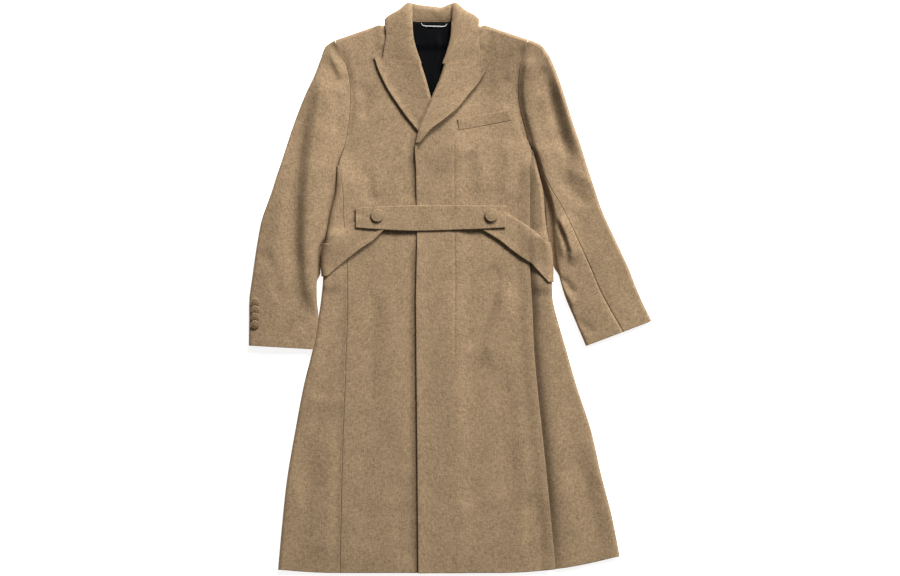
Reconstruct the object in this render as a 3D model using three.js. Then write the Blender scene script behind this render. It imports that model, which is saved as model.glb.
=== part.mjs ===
// A long wool overcoat with peak lapels and a front belt, laid out flat on its back.
// Millimetres. +X is the wearer's left, +Y runs from the hem to the collar, +Z is up from the
// surface that the coat lies on. Every piece of cloth is a closed wall with two skins.
import * as THREE from 'three';

// ---------------------------------------------------------------- driving sizes
const CLOTH = 2.5;          // wool of the back, side panels and sleeves, with its inner layers
const FRONT = 3;            // canvassed cloth of the fronts, lapels and collar
const BELT = 3.5;           // two layers of wool and a stiffener
const STRAP = 4;            // the front strap of the belt
const LINING = 0.8;         // lining satin
const WELT = 2;             // chest pocket welt
const SEAM = 0.3;           // gap between two pieces at a seam
const LAY = 0.6;            // gap under a piece that lies on a curved panel
const BELT_LAY = 1.2;       // gap under the belt, which lies loosely
const LIE = 8;              // top of a front above the underside of the back, laid together
const SIDE_FOLD = 8;        // how far a side fold swings out past its last flat point
const ROLL_FOLD = 7;        // the same for the roll of a lapel
const ROLL_ALLOWANCE = 10;  // a front ends this far inside the roll line of its lapel
const SIDE_LAP = 3.6;       // the left front stands this far above its side panel at their seam
const OVERLAP_LIFT = 3.9;   // the left front stands this far above the right front
const HEM = -598;           // lowest line of the hem
const COLLAR_CENTRE = -38;  // middle of the collar, left of the middle of the laid coat
const BELT_BUTTON = 28;     // diameter of the two buttons of the belt
const CUFF_BUTTON = 18.5;   // diameter of the four buttons of the cuff

const WOOL = { color: 0x9f8769, roughness: 0.95, metalness: 0 };
const SATIN = { color: 0x0c0d10, roughness: 0.45, metalness: 0 };
const LOOP = { color: 0xc9c9c6, roughness: 0.5, metalness: 0 };

// ---------------------------------------------------------------- tables of sections
// Right side panel, from the armhole down: the front seam, the fold and the back seam.
const RIGHT_SIDE = [
  { y: 259, seam: -229, fold: -236.4, back: -222.6, rise: 35 },
  { y: 207, seam: -225, fold: -240.3, back: -209, rise: 0 },
  { y: 154, seam: -223.7, fold: -252.3, back: -205, rise: 0 },
  { y: 120, seam: -221, fold: -258, back: -205, rise: 0 },
  { y: 95, seam: -218.8, fold: -261.8, back: -206, rise: 0 },
  { y: 71.7, seam: -217.2, fold: -267, back: -206, rise: 0 },
  { y: 48.3, seam: -216.3, fold: -268, back: -206, rise: 0 },
  { y: 25, seam: -215.8, fold: -266.5, back: -207, rise: 0 },
  { y: -24, seam: -215.2, fold: -271, back: -209, rise: 0 },
  { y: -62, seam: -215.5, fold: -276.6, back: -212, rise: 0 },
  { y: -119, seam: -218, fold: -286.4, back: -216, rise: 0 },
  { y: -200, seam: -220.5, fold: -306.5, back: -222, rise: 0 },
  { y: -301, seam: -224.3, fold: -325.5, back: -228, rise: 0 },
  { y: -402, seam: -227.2, fold: -342.3, back: -233, rise: 0 },
  { y: -503, seam: -229.5, fold: -353, back: -237, rise: 0 },
  { y: HEM, seam: -231.2, fold: -361.5, back: -240, rise: 0 },
];
// Left side panel.
const LEFT_SIDE = [
  { y: 290, seam: 167.4, fold: 175.2, back: 159.6, rise: 36 },
  { y: 250, seam: 167.4, fold: 185, back: 157, rise: 0 },
  { y: 207, seam: 167.4, fold: 195.5, back: 154, rise: 0 },
  { y: 154, seam: 167.4, fold: 200, back: 158, rise: 0 },
  { y: 120, seam: 167.6, fold: 204, back: 159, rise: 0 },
  { y: 97, seam: 168, fold: 207.5, back: 160, rise: 0 },
  { y: 69, seam: 168, fold: 212, back: 160, rise: 0 },
  { y: 41, seam: 168.3, fold: 213.6, back: 160, rise: 0 },
  { y: 13, seam: 169.8, fold: 214, back: 160, rise: 0 },
  { y: -24, seam: 172, fold: 216, back: 161, rise: 0 },
  { y: -62, seam: 173.7, fold: 225, back: 163, rise: 0 },
  { y: -119, seam: 176, fold: 241.5, back: 167, rise: 0 },
  { y: -200, seam: 182.7, fold: 264.6, back: 174, rise: 0 },
  { y: -301, seam: 193.2, fold: 296, back: 184, rise: 0 },
  { y: -402, seam: 203.7, fold: 317, back: 194, rise: 0 },
  { y: -503, seam: 213.2, fold: 340, back: 205, rise: 0 },
  { y: HEM, seam: 221.5, fold: 357, back: 214, rise: 0 },
];
// Front edge of the left front, and edge of the right front hidden under it.
const FRONT_EDGES = [
  { y: 291, over: -72.5, hidden: 8.4 },
  { y: 186, over: -70.8, hidden: 8.4 },
  { y: 100, over: -69.3, hidden: 8.4 },
  { y: -12, over: -72, hidden: 8.4 },
  { y: -165, over: -70.8, hidden: 8.4 },
  { y: -320, over: -69.3, hidden: 8.4 },
  { y: HEM, over: -66.8, hidden: 8.4 },
];
// Rows of a front above the underarm: a point on the armhole, and one on the neck or the roll.
const RIGHT_CHEST = [
  { armX: -238.6, armY: 514.4, rollX: -102.1, rollY: 562 },
  { armX: -232.1, armY: 496.7, rollX: -97, rollY: 542.9 },
  { armX: -218.4, armY: 467.2, rollX: -88.2, rollY: 509.2 },
  { armX: -211.1, armY: 433.7, rollX: -71.6, rollY: 475.7 },
  { armX: -210, armY: 395.9, rollX: -60.2, rollY: 438 },
  { armX: -211.5, armY: 360.2, rollX: -47.9, rollY: 396 },
  { armX: -217.1, armY: 322.4, rollX: -33.5, rollY: 350 },
  { armX: -222.8, armY: 295.1, rollX: -21.8, rollY: 309.5 },
  { armX: -229, armY: 260.5, rollX: 8.4, rollY: 286 },
];
const LEFT_CHEST = [
  { armX: 160.9, armY: 514.4, rollX: 34.9, rollY: 558.5 },
  { armX: 156.5, armY: 494, rollX: 23, rollY: 538.6 },
  { armX: 147, armY: 467.2, rollX: 14.5, rollY: 509.2 },
  { armX: 142.8, armY: 433.7, rollX: -2.2, rollY: 475.7 },
  { armX: 143, armY: 404.2, rollX: -13.8, rollY: 438 },
  { armX: 148, armY: 370, rollX: -28.4, rollY: 402.2 },
  { armX: 158, armY: 333, rollX: -44.5, rollY: 362 },
  { armX: 165, armY: 308, rollX: -61, rollY: 307.5 },
  { armX: 167.4, armY: 289, rollX: -72.6, rollY: 302.5 },
];
// Lapels from the gorge down to the break: roll line, outer edge, and how high the roll springs.
const RIGHT_LAPEL = [
  { rollX: -60.7, rollY: 471.5, edgeX: -159.6, edgeY: 486.2, spring: 9.5 },
  { rollX: -55.7, rollY: 456.8, edgeX: -154.3, edgeY: 468.7, spring: 8 },
  { rollX: -50.4, rollY: 440, edgeX: -146.4, edgeY: 449.4, spring: 6.5 },
  { rollX: -44.1, rollY: 416.9, edgeX: -130.2, edgeY: 417.3, spring: 4.5 },
  { rollX: -37.8, rollY: 395.9, edgeX: -111.3, edgeY: 388.5, spring: 2.6 },
  { rollX: -31, rollY: 372, edgeX: -94.5, edgeY: 364.6, spring: 1.4 },
  { rollX: -23.5, rollY: 348, edgeX: -77.1, edgeY: 342.9, spring: 1 },
  { rollX: -16.5, rollY: 327, edgeX: -60.9, edgeY: 323.4, spring: 1 },
  { rollX: -9.5, rollY: 308, edgeX: -44, edgeY: 303, spring: 1 },
];
const LEFT_LAPEL = [
  { rollX: -12.2, rollY: 471.5, edgeX: 84, edgeY: 480.9, spring: 9.5 },
  { rollX: -17.2, rollY: 454.7, edgeX: 77.5, edgeY: 465.2, spring: 8.5 },
  { rollX: -23.7, rollY: 435.8, edgeX: 70.8, edgeY: 449.6, spring: 7.5 },
  { rollX: -32, rollY: 417, edgeX: 57.3, edgeY: 428.2, spring: 6.5 },
  { rollX: -39.1, rollY: 400.5, edgeX: 42, edgeY: 410.6, spring: 5.5 },
  { rollX: -46.3, rollY: 381, edgeX: 19.5, edgeY: 382, spring: 4.5 },
  { rollX: -57.1, rollY: 357.6, edgeX: -10.5, edgeY: 355.9, spring: 3.5 },
  { rollX: -66.6, rollY: 333, edgeX: -40.5, edgeY: 333.4, spring: 2.5 },
  { rollX: -72.3, rollY: 308, edgeX: -60, edgeY: 309, spring: 1.5 },
];
// Collar stations from the middle of the back round to the gorge. Each is a line of six points on
// the outside of the cloth: neck seam, stand, crest, leaf, turn and outer edge. out is measured
// from the middle of the collar.
const COLLAR = [
  { seam: [0, 559.7, 6.6], stand: [0, 573, 13], crest: [0, 583, 18.5], leaf: [0, 590.7, 10],
    turn: [0, 579, 0], edge: [0, 523, 0] },
  { seam: [20, 559.7, 6.6], stand: [21, 573, 14], crest: [22, 584.5, 20], leaf: [23, 592.5, 11],
    turn: [24, 580, 0], edge: [30, 523, 0] },
  { seam: [40, 560.2, 7], stand: [40.5, 572, 18], crest: [45, 588, 27], leaf: [50, 598.5, 14],
    turn: [56, 585, 0], edge: [66, 526, 0] },
  { seam: [56, 568, 14], stand: [43, 566, 23], crest: [52, 577, 33], leaf: [64, 584, 25],
    turn: [74, 584, 10], edge: [88, 548, 0] },
  { seam: [59, 556, 14], stand: [42, 556, 23], crest: [52, 560, 33], leaf: [72, 568, 27],
    turn: [91, 569, 17], edge: [98.5, 564.5, 8.5] },
  { seam: [57, 546, 13], stand: [41.5, 544, 23], crest: [51, 546, 31], leaf: [70, 547, 25.5],
    turn: [88, 547, 19], edge: [97.5, 546, 14.8] },
  { seam: [54, 530, 13], stand: [40, 528, 22], crest: [49, 529, 28.5], leaf: [68, 530, 24.5],
    turn: [87, 530.5, 18], edge: [96.5, 531, 14] },
  { seam: [48, 507, 13], stand: [34, 503, 20], crest: [43, 503.5, 25.5], leaf: [66, 505, 22],
    turn: [89, 507, 16.5], edge: [100.2, 508, 13] },
  { seam: [32, 475.3, 13], stand: [23.2, 472.6, 17], crest: [31, 473.6, 21], leaf: [58, 477.8, 18.5],
    turn: [86, 482.2, 15.2], edge: [104.3, 485.2, 12.6] },
];
// Sleeves from the top of the head to the cuff. Each row is a ring from the outer fold to the inner
// fold: heights of both folds, the crown between them, and where the front seam lies on the ring
// (0 to 1 round the inner fold, 1 to 2 across the top). Rows with no seam end on the armhole.
const RIGHT_SLEEVE = [
  { outX: -242.1, outY: 521.8, inX: -239, inY: 514.3, outer: 0, crown: 0 },
  { outX: -253, outY: 515.5, inX: -232.5, inY: 496.6, outer: 25, crown: 3 },
  { outX: -262, outY: 508, inX: -225.6, inY: 482, outer: 26, crown: 6 },
  { outX: -272, outY: 482, inX: -218.8, inY: 467.2, outer: 26, crown: 8 },
  { outX: -285, outY: 448, inX: -211.5, inY: 433.7, outer: 24, crown: 10 },
  { outX: -305.3, outY: 404.9, inX: -210.4, inY: 395.9, outer: 22, crown: 10 },
  { outX: -327.8, outY: 346.7, inX: -211.9, inY: 360.2, outer: 20, crown: 9 },
  { outX: -344.6, outY: 296, inX: -217.5, inY: 322.4, outer: 19, crown: 8 },
  { outX: -355, outY: 264, inX: -223.2, inY: 295.1, outer: 18, crown: 7 },
  { outX: -364, outY: 238, inX: -237.4, inY: 256, outer: 18, inner: 14, crown: 6, seam: 0.5 },
  { outX: -375.1, outY: 202.7, inX: -241.2, inY: 206.9, outer: 17, inner: 14, crown: 6, seam: 0.2 },
  { outX: -395.4, outY: 145.3, inX: -253.2, inY: 154.3, outer: 16, inner: 14, crown: 5, seam: 0 },
  { outX: -404, outY: 102, inX: -262.5, inY: 104, outer: 16, inner: 14, crown: 5, seam: 0 },
  { outX: -407, outY: 84, inX: -272.5, inY: 87, outer: 16, inner: 14, crown: 5, seam: 0 },
  { outX: -416, outY: 20, inX: -279.2, inY: 20, outer: 15, inner: 14, crown: 4, seam: 0 },
  { outX: -421.4, outY: -20, inX: -279.3, inY: -20, outer: 15, inner: 13, crown: 4, seam: 0 },
  { outX: -422.1, outY: -66, inX: -279.8, inY: -66, outer: 15, inner: 13, crown: 4, seam: 0 },
  { outX: -422.7, outY: -119.9, inX: -289.6, inY: -128.1, outer: 15, inner: 13, crown: 3, seam: 0 },
];
const LEFT_SLEEVE = [
  { outX: 164.4, outY: 521.8, inX: 161.3, inY: 514.3, outer: 0, crown: 0 },
  { outX: 178, outY: 517, inX: 157, inY: 494, outer: 25, crown: 3 },
  { outX: 190, outY: 511, inX: 151.8, inY: 480, outer: 26, crown: 6 },
  { outX: 201.6, outY: 497.9, inX: 147.4, inY: 467.2, outer: 26, crown: 8 },
  { outX: 214, outY: 476.9, inX: 143.2, inY: 433.7, outer: 24, crown: 10 },
  { outX: 232.7, outY: 428.8, inX: 143.4, inY: 404.2, outer: 22, crown: 10 },
  { outX: 252, outY: 368, inX: 148.4, inY: 370, outer: 20, crown: 9 },
  { outX: 263, outY: 334, inX: 158.4, inY: 333, outer: 19, crown: 8 },
  { outX: 271, outY: 312, inX: 165.4, inY: 308, outer: 18, crown: 7 },
  { outX: 279, outY: 287, inX: 177.5, inY: 284, outer: 18, inner: 14, crown: 6, seam: 0.5 },
  { outX: 290, outY: 252, inX: 187.2, inY: 250, outer: 17, inner: 14, crown: 6, seam: 0.9 },
  { outX: 303, outY: 212, inX: 199, inY: 213, outer: 17, inner: 14, crown: 5, seam: 1.03 },
  { outX: 319, outY: 165, inX: 211.5, inY: 172, outer: 17, inner: 14, crown: 5, seam: 1.17 },
  { outX: 357, outY: 82, inX: 219, inY: 88, outer: 16, inner: 14, crown: 5, seam: 1.4 },
  { outX: 375.9, outY: 41, inX: 226, inY: 42, outer: 16, inner: 14, crown: 5, seam: 1.46 },
  { outX: 391, outY: 2, inX: 241, inY: -15, outer: 16, inner: 14, crown: 4, seam: 1.5 },
  { outX: 405, outY: -30, inX: 262, inY: -65, outer: 15, inner: 13, crown: 4, seam: 1.53 },
  { outX: 423.8, outY: -68.2, inX: 285.6, inY: -120.8, outer: 15, inner: 13, crown: 3, seam: 1.57 },
];
// Belt bands from the end under the strap to the side fold: upper edge and lower edge.
const RIGHT_BAND = [
  { upX: -118, upY: 169, lowX: -112, lowY: 136 },
  { upX: -150, upY: 163, lowX: -137, lowY: 123.5 },
  { upX: -178, upY: 151, lowX: -163, lowY: 99.5 },
  { upX: -199, upY: 141, lowX: -189, lowY: 82 },
  { upX: -222, upY: 127, lowX: -216, lowY: 61 },
  { upX: -240, upY: 113, lowX: -239, lowY: 42 },
];
const LEFT_BAND = [
  { upX: 42, upY: 170, lowX: 38, lowY: 138 },
  { upX: 80, upY: 167, lowX: 71, lowY: 121 },
  { upX: 118, upY: 158.5, lowX: 105, lowY: 100 },
  { upX: 145, upY: 143, lowX: 128, lowY: 81.5 },
  { upX: 168, upY: 128, lowX: 150, lowY: 65.5 },
  { upX: 186, upY: 113, lowX: 172, lowY: 51 },
];
// Where each band crosses the side fold: its upper and lower edge, and its middle.
const BAND_WRAP = {
  right: { up: 95, low: 25, middle: 60 },
  left: { up: 97, low: 13, middle: 55 },
};
const WRAP_REACH = 26;      // a band runs this far back under the coat
const WRAP_LIFT = BELT + SEAM;
// The belt's front strap: its top and bottom edge.
const STRAP_ROWS = [
  { x: -198, top: 169, bottom: 127.5 },
  { x: -170, top: 171, bottom: 125 },
  { x: -140, top: 172, bottom: 123.3 },
  { x: -112, top: 173.5, bottom: 121.8 },
  { x: -84, top: 174.5, bottom: 120.8 },
  { x: -50, top: 174.7, bottom: 121 },
  { x: -10, top: 174.7, bottom: 122 },
  { x: 30, top: 174.5, bottom: 123.5 },
  { x: 60, top: 174.3, bottom: 124.5 },
  { x: 90, top: 174, bottom: 126 },
  { x: 117, top: 173.5, bottom: 127.5 },
];
const BELT_BUTTONS = { right: [-152.7, 153], left: [86.9, 153.4] };
const CUFF_BUTTONS = [[-408.6, -75.2], [-408.8, -59.6], [-409, -44], [-409.2, -28.4]];
// Corners of the chest welt, from the top at the front round to the bottom at the front.
const WELT_CORNERS = { topFront: [15.8, 355.9], topSide: [122.9, 374.9], lowSide: [128.1, 352.8],
  lowFront: [18.9, 331.8] };
// Neck lining, from the neck seam down behind the fronts.
const NECK_LINING = [
  { y: 558.5, right: -88, left: 12 },
  { y: 542, right: -98, left: 22 },
  { y: 519.7, right: -100, left: 24 },
  { y: 489.2, right: -98, left: 20 },
  { y: 447, right: -87, left: 10 },
  { y: 400.5, right: -68, left: -8 },
  { y: 384, right: -62, left: -15 },
];
const HANGER_LOOP = { x: -33.6, y: 554.6, length: 54, width: 4, thickness: 1.2, slack: 1.6 };
// Largest soft folds of the skirt: each a straight trough from one point to the other.
const FOLDS = [
  { x0: 190, y0: 0, x1: 236, y1: -540, width: 10, rise: -2 },
  { x0: 112, y0: 0, x1: 42, y1: -135, width: 16, rise: -1.6 },
  { x0: 150, y0: -20, x1: 178, y1: -560, width: 15, rise: 2.5 },
  { x0: -160, y0: 0, x1: -168, y1: -260, width: 18, rise: -1.2 },
  { x0: -250, y0: -90, x1: -322, y1: -560, width: 20, rise: 2 },
  { x0: -20, y0: 60, x1: 30, y1: -380, width: 30, rise: 2 },
];

// ---------------------------------------------------------------- small maths
const mix = (a, b, t) => a + (b - a) * t;
const clamp01 = (t) => Math.min(1, Math.max(0, t));
const ease = (t) => clamp01(t) ** 2 * (3 - 2 * clamp01(t));
const bell = (distance, width) => Math.exp(-((distance / width) ** 2));

// A column of a table that runs down in y, read at any y between its rows.
function readAt(table, column, y) {
  const next = table.findIndex((row) => row.y <= y);
  if (next === 0) return table[0][column];
  if (next < 0) return table[table.length - 1][column];
  const above = table[next - 1];
  const below = table[next];
  return mix(above[column], below[column], (above.y - y) / (above.y - below.y));
}

// The hem climbs at both sides, so points low on the skirt move up with it.
function hung(x, y) {
  const rise = x > 99 ? 0.00055 * (x - 99) ** 2 : 0.00045 * Math.min(0, x + 230) ** 2;
  return y + rise * ease((-150 - y) / 448);
}

// The shoulder line runs a little lower where the collar's fall turns round it.
function shoulderDip(x) {
  const out = Math.abs(x - COLLAR_CENTRE);
  return 6 * ease((110 - out) / 12) * ease((out - 80) / 10);
}

// ---------------------------------------------------------------- heights
// Underside of the coat: on the surface, or over the collar's fall and the ends of the bands.
function under(x, y) {
  const overCollar = (FRONT + SEAM) * ease((y - 497) / 18)
    * ease((124 - Math.abs(x - COLLAR_CENTRE)) / 20);
  const wrap = (side, inward, { middle }) => WRAP_LIFT
    * ease((72 - Math.abs(y - middle)) / 22)
    * ease((WRAP_REACH + 26 - inward) / 24);
  const right = wrap('right', x - readAt(RIGHT_SIDE, 'fold', y), BAND_WRAP.right);
  const left = wrap('left', readAt(LEFT_SIDE, 'fold', y) - x, BAND_WRAP.left);
  return overCollar + Math.max(right, left);
}

// Distance from a fold's line, with its ends softened.
function foldHeight(fold, x, y) {
  const dx = fold.x1 - fold.x0;
  const dy = fold.y1 - fold.y0;
  const length = Math.hypot(dx, dy);
  const along = ((x - fold.x0) * dx + (y - fold.y0) * dy) / length;
  const across = ((x - fold.x0) * dy - (y - fold.y0) * dx) / length;
  const ends = ease(along / 60) * ease((length - along) / 60);
  return fold.rise * ends * bell(across, fold.width);
}

// Top of the fronts and side panels where a single layer lies on the back.
function laid(x, y) {
  const shoulders = 13 * bell(Math.hypot(x + 238, y - 500), 75)
    + 13 * bell(Math.hypot(x - 160, y - 500), 75);
  const belowArm = ease((300 - y) / 60);
  const sides = 3.5 * belowArm * (bell(x - readAt(RIGHT_SIDE, 'fold', y), 28)
    + bell(x - readAt(LEFT_SIDE, 'fold', y), 28));
  const folds = FOLDS.reduce((sum, fold) => sum + foldHeight(fold, x, y), 0);
  return under(x, y) + LIE + shoulders + sides + folds;
}

// Right edge of what lies under the left front: the right lapel's roll, then the right front.
const HIDDEN_EDGE = [
  { y: 400, x: -37 }, { y: 350, x: -21 }, { y: 303, x: -2 }, { y: 288, x: 12 }, { y: HEM, x: 12 },
];

// Top of the left front, which rises over the right lapel, the right front and its own side seam.
function laidOver(x, y) {
  const past = x - readAt(HIDDEN_EDGE, 'x', y);
  const lapelUnder = 9.8 * ease((y - 262) / 36) * ease((440 - y) / 40);
  const frontUnder = OVERLAP_LIFT * ease((300 - y) / 36);
  const held = 1 - ease((62 - Math.abs(y - 148)) / 30);
  const edge = 2.5 * held * ease((290 - y) / 50) * bell(x - readAt(FRONT_EDGES, 'over', y), 14);
  const sideSeam = SIDE_LAP * ease((300 - y) / 50)
    * ease((x - readAt(LEFT_SIDE, 'seam', y) + 30) / 24);
  const slope = mix(32, 75, ease((y - 262) / 50));
  const lift = Math.max(lapelUnder, frontUnder) * ease(1 - (past - 2) / slope);
  return laid(x, y) + lift + edge + sideSeam;
}

// What a band lies on at the wearer's left: the front, then a slope down past its side seam.
function laidLeftBand(x, y) {
  const past = x - readAt(LEFT_SIDE, 'seam', y);
  return past < 0 ? laidOver(x, y) : laid(x, y) + SIDE_LAP * (1 - ease(past / 26));
}

// ---------------------------------------------------------------- walls
// A place on a piece of cloth: a point of its outside and the point of its inside below it.
const place = (x, y, outer, inner) => ({
  outer: new THREE.Vector3(x, y, outer),
  inner: new THREE.Vector3(x, y, inner),
});

// A closed wall from rows of places, all rows with the same number of them.
function wall(rows) {
  const down = rows.length;
  const wide = rows[0].length;
  const points = [];
  for (const skin of ['outer', 'inner']) {
    for (const row of rows) {
      for (const spot of row) points.push(spot[skin]);
    }
  }
  const outer = (i, j) => i * wide + j;
  const inner = (i, j) => down * wide + i * wide + j;
  const faces = [];
  const quad = (a, b, c, d) => faces.push(a, b, c, a, c, d);
  for (let i = 0; i < down - 1; i += 1) {
    for (let j = 0; j < wide - 1; j += 1) {
      quad(outer(i, j), outer(i + 1, j), outer(i + 1, j + 1), outer(i, j + 1));
      quad(inner(i, j), inner(i, j + 1), inner(i + 1, j + 1), inner(i + 1, j));
    }
  }
  for (let i = 0; i < down - 1; i += 1) {
    quad(outer(i, 0), inner(i, 0), inner(i + 1, 0), outer(i + 1, 0));
    quad(outer(i, wide - 1), outer(i + 1, wide - 1), inner(i + 1, wide - 1), inner(i, wide - 1));
  }
  for (let j = 0; j < wide - 1; j += 1) {
    quad(outer(0, j), outer(0, j + 1), inner(0, j + 1), inner(0, j));
    quad(outer(down - 1, j), inner(down - 1, j), inner(down - 1, j + 1), outer(down - 1, j + 1));
  }
  return facingOut(points, faces);
}

// Turns every face over if the solid came out inside out.
function facingOut(points, faces) {
  let volume = 0;
  const cross = new THREE.Vector3();
  for (let f = 0; f < faces.length; f += 3) {
    cross.crossVectors(points[faces[f + 1]], points[faces[f + 2]]);
    volume += points[faces[f]].dot(cross);
  }
  const index = volume > 0 ? faces : faces.toReversed();
  const geometry = new THREE.BufferGeometry().setFromPoints(points);
  geometry.setIndex(index);
  geometry.computeVertexNormals();
  return geometry;
}

// ---------------------------------------------------------------- the coat
const coat = new THREE.Group();

function add(name, geometry, finish = WOOL) {
  const mesh = new THREE.Mesh(geometry, new THREE.MeshStandardMaterial(finish));
  mesh.name = name;
  coat.add(mesh);
  return mesh;
}

// Places across a fold: from its underside (-90 degrees) to its top (90 degrees).
function foldPlaces({ x, y, dirX, dirY, top, bottom, reach, thickness, steps, from = -90, to = 90 }) {
  const half = (top - bottom) / 2;
  return Array.from({ length: steps + 1 }, (_, k) => {
    const angle = THREE.MathUtils.degToRad(mix(from, to, k / steps));
    const at = (swing, height) => {
      const px = x + dirX * swing * Math.cos(angle);
      const py = y + dirY * swing * Math.cos(angle);
      return new THREE.Vector3(px, py, bottom + half + height * Math.sin(angle));
    };
    return { outer: at(reach, half), inner: at(reach - thickness, half - thickness) };
  });
}

// ---- back panel
const BACK_COLUMNS = [-238.6, -163, -147.4, -128.9, -102.1, -60, 0, 34.9, 55.8, 73.2, 90, 160.9];
const BACK_TOP = [0, 25.8, 31.2, 31.6, 46.8, 44.7, 44.7, 43, 28, 30, 24.2, 0];
const BACK_ROWS = [
  { rightX: -238.3, rightY: 514.1, leftX: 160.6, leftY: 514.1, crown: 1 },
  { rightX: -229.5, rightY: 491.5, leftX: 155.5, leftY: 491.5, crown: 0.63 },
  { rightX: -218.2, rightY: 467.4, leftX: 147.2, leftY: 468, crown: 0.5 },
  { rightX: -210.9, rightY: 433.7, leftX: 142.5, leftY: 433.7, crown: 0.3 },
  { rightX: -209.8, rightY: 395.9, leftX: 142.7, leftY: 404.2, crown: 0.1 },
  { rightX: -211.3, rightY: 360.2, leftX: 147.7, leftY: 370, crown: 0 },
  { rightX: -216.9, rightY: 322.4, leftX: 157.3, leftY: 335, crown: 0 },
  { rightX: -222.3, rightY: 294.2, leftX: 159.2, leftY: 326, crown: 0 },
];
function backPanel() {
  const first = BACK_COLUMNS[0];
  const span = BACK_COLUMNS.at(-1) - first;
  const lower = RIGHT_SIDE.filter((row) => row.y < 250).map((row) => ({
    rightX: row.back + SEAM,
    rightY: row.y,
    leftX: readAt(LEFT_SIDE, 'back', row.y) - SEAM,
    leftY: row.y,
    crown: 0,
  }));
  const rows = [...BACK_ROWS, ...lower].map(({ rightX, rightY, leftX, leftY, crown }) => (
    BACK_COLUMNS.map((column, j) => {
      const t = (column - first) / span;
      const x = mix(rightX, leftX, t);
      const y = hung(x, mix(rightY, leftY, t) + crown * BACK_TOP[j]);
      const z = under(x, y);
      return place(x, y, z + CLOTH, z);
    })
  ));
  return wall(rows);
}
add('back', backPanel());

// ---- neck lining and hanger loop
function neckLining() {
  const rows = NECK_LINING.map(({ y, right, left }) => (
    [0, 0.25, 0.5, 0.75, 1].map((t) => {
      const x = mix(right, left, t);
      const z = under(x, y) + CLOTH + LAY;
      return place(x, y, z + LINING, z);
    })
  ));
  return wall(rows);
}
add('neck_lining', neckLining(), SATIN);

function hangerLoop() {
  const { x, y, length, width, thickness, slack } = HANGER_LOOP;
  const rows = Array.from({ length: 11 }, (_, k) => {
    const t = k / 10;
    const px = x + (t - 0.5) * length;
    const middle = y + 1.6 * Math.abs(2 * t - 1) ** 6;
    const z = under(px, middle) + CLOTH + LAY + LINING + SEAM + slack * Math.sin(Math.PI * t);
    return [-0.5, 0.5].map((s) => place(px, middle + s * width, z + thickness, z));
  });
  return wall(rows);
}
add('hanger_loop', hangerLoop(), LOOP);

// ---- fronts
// Rows down a front: round the shoulder fold, down the chest, then one for each side row.
function frontPanel(chest, side, edge, height, columns) {
  const shoulder = chest[0];
  const slope = Math.atan2(shoulder.rollY - shoulder.armY, shoulder.rollX - shoulder.armX);
  const outward = shoulder.rollX > shoulder.armX ? slope + Math.PI / 2 : slope - Math.PI / 2;
  const across = Array.from({ length: columns + 1 }, (_, j) => 1 - (1 - j / columns) ** 1.3);
  const folds = across.map((t) => {
    const x = mix(shoulder.armX, shoulder.rollX, t);
    const y = mix(shoulder.armY, shoulder.rollY, t) - shoulderDip(x);
    return foldPlaces({
      x, y, dirX: Math.cos(outward), dirY: Math.sin(outward), top: height(x, y),
      bottom: under(x, y), reach: SIDE_FOLD, thickness: FRONT, steps: 4,
    });
  });
  const overShoulder = [0, 1, 2, 3, 4].map((k) => folds.map((fold) => fold[k]));
  const down = [
    ...chest.slice(1).map((row) => [row.armX, row.armY, row.rollX, row.rollY]),
    ...side.filter((row) => row.y <= 250).map((row) => [row.seam, row.y, edge(row.y), row.y]),
  ];
  const flat = down.map(([sideX, sideY, edgeX, edgeY]) => across.map((t) => {
    const x = mix(sideX, edgeX, t);
    const y = hung(x, mix(sideY, edgeY, t));
    const z = height(x, y);
    return place(x, y, z, z - FRONT);
  }));
  return wall([...overShoulder, ...flat]);
}
add('front_right', frontPanel(RIGHT_CHEST, RIGHT_SIDE,
  (y) => readAt(FRONT_EDGES, 'hidden', y), laid, 7));
add('front_left', frontPanel(LEFT_CHEST, LEFT_SIDE,
  (y) => readAt(FRONT_EDGES, 'over', y), laidOver, 10));

// ---- side panels
// Each section runs along the top from the front seam, round the fold and back underneath.
function sidePanel(rows, sign, tuck) {
  return wall(rows.map((row) => {
    const start = row.seam + sign * (SEAM - tuck * ease((250 - row.y) / 43));
    const reach = Math.min(SIDE_FOLD, Math.abs(row.fold - start) - 1);
    const turn = row.fold - sign * reach;
    const top = [0, 1 / 3, 2 / 3].map((t) => {
      const x = mix(start, turn, t);
      const y = hung(x, row.y);
      const z = laid(x, y);
      return place(x, y, z, z - CLOTH);
    });
    const y = hung(turn, row.y);
    const fold = foldPlaces({
      x: turn, y, dirX: sign, dirY: 0, top: laid(turn, y), bottom: under(turn, y),
      reach, thickness: CLOTH, steps: 4, from: 90, to: -90,
    });
    const below = [0.42, 0.72, 1].map((t) => {
      const x = mix(turn, row.back, t);
      const py = hung(x, row.y + row.rise * t);
      const z = under(x, py);
      return place(x, py, z, z + CLOTH);
    });
    return [...top, ...fold, ...below];
  }));
}
add('side_right', sidePanel(RIGHT_SIDE, -1, 0));
add('side_left', sidePanel(LEFT_SIDE, 1, 3));

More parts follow.
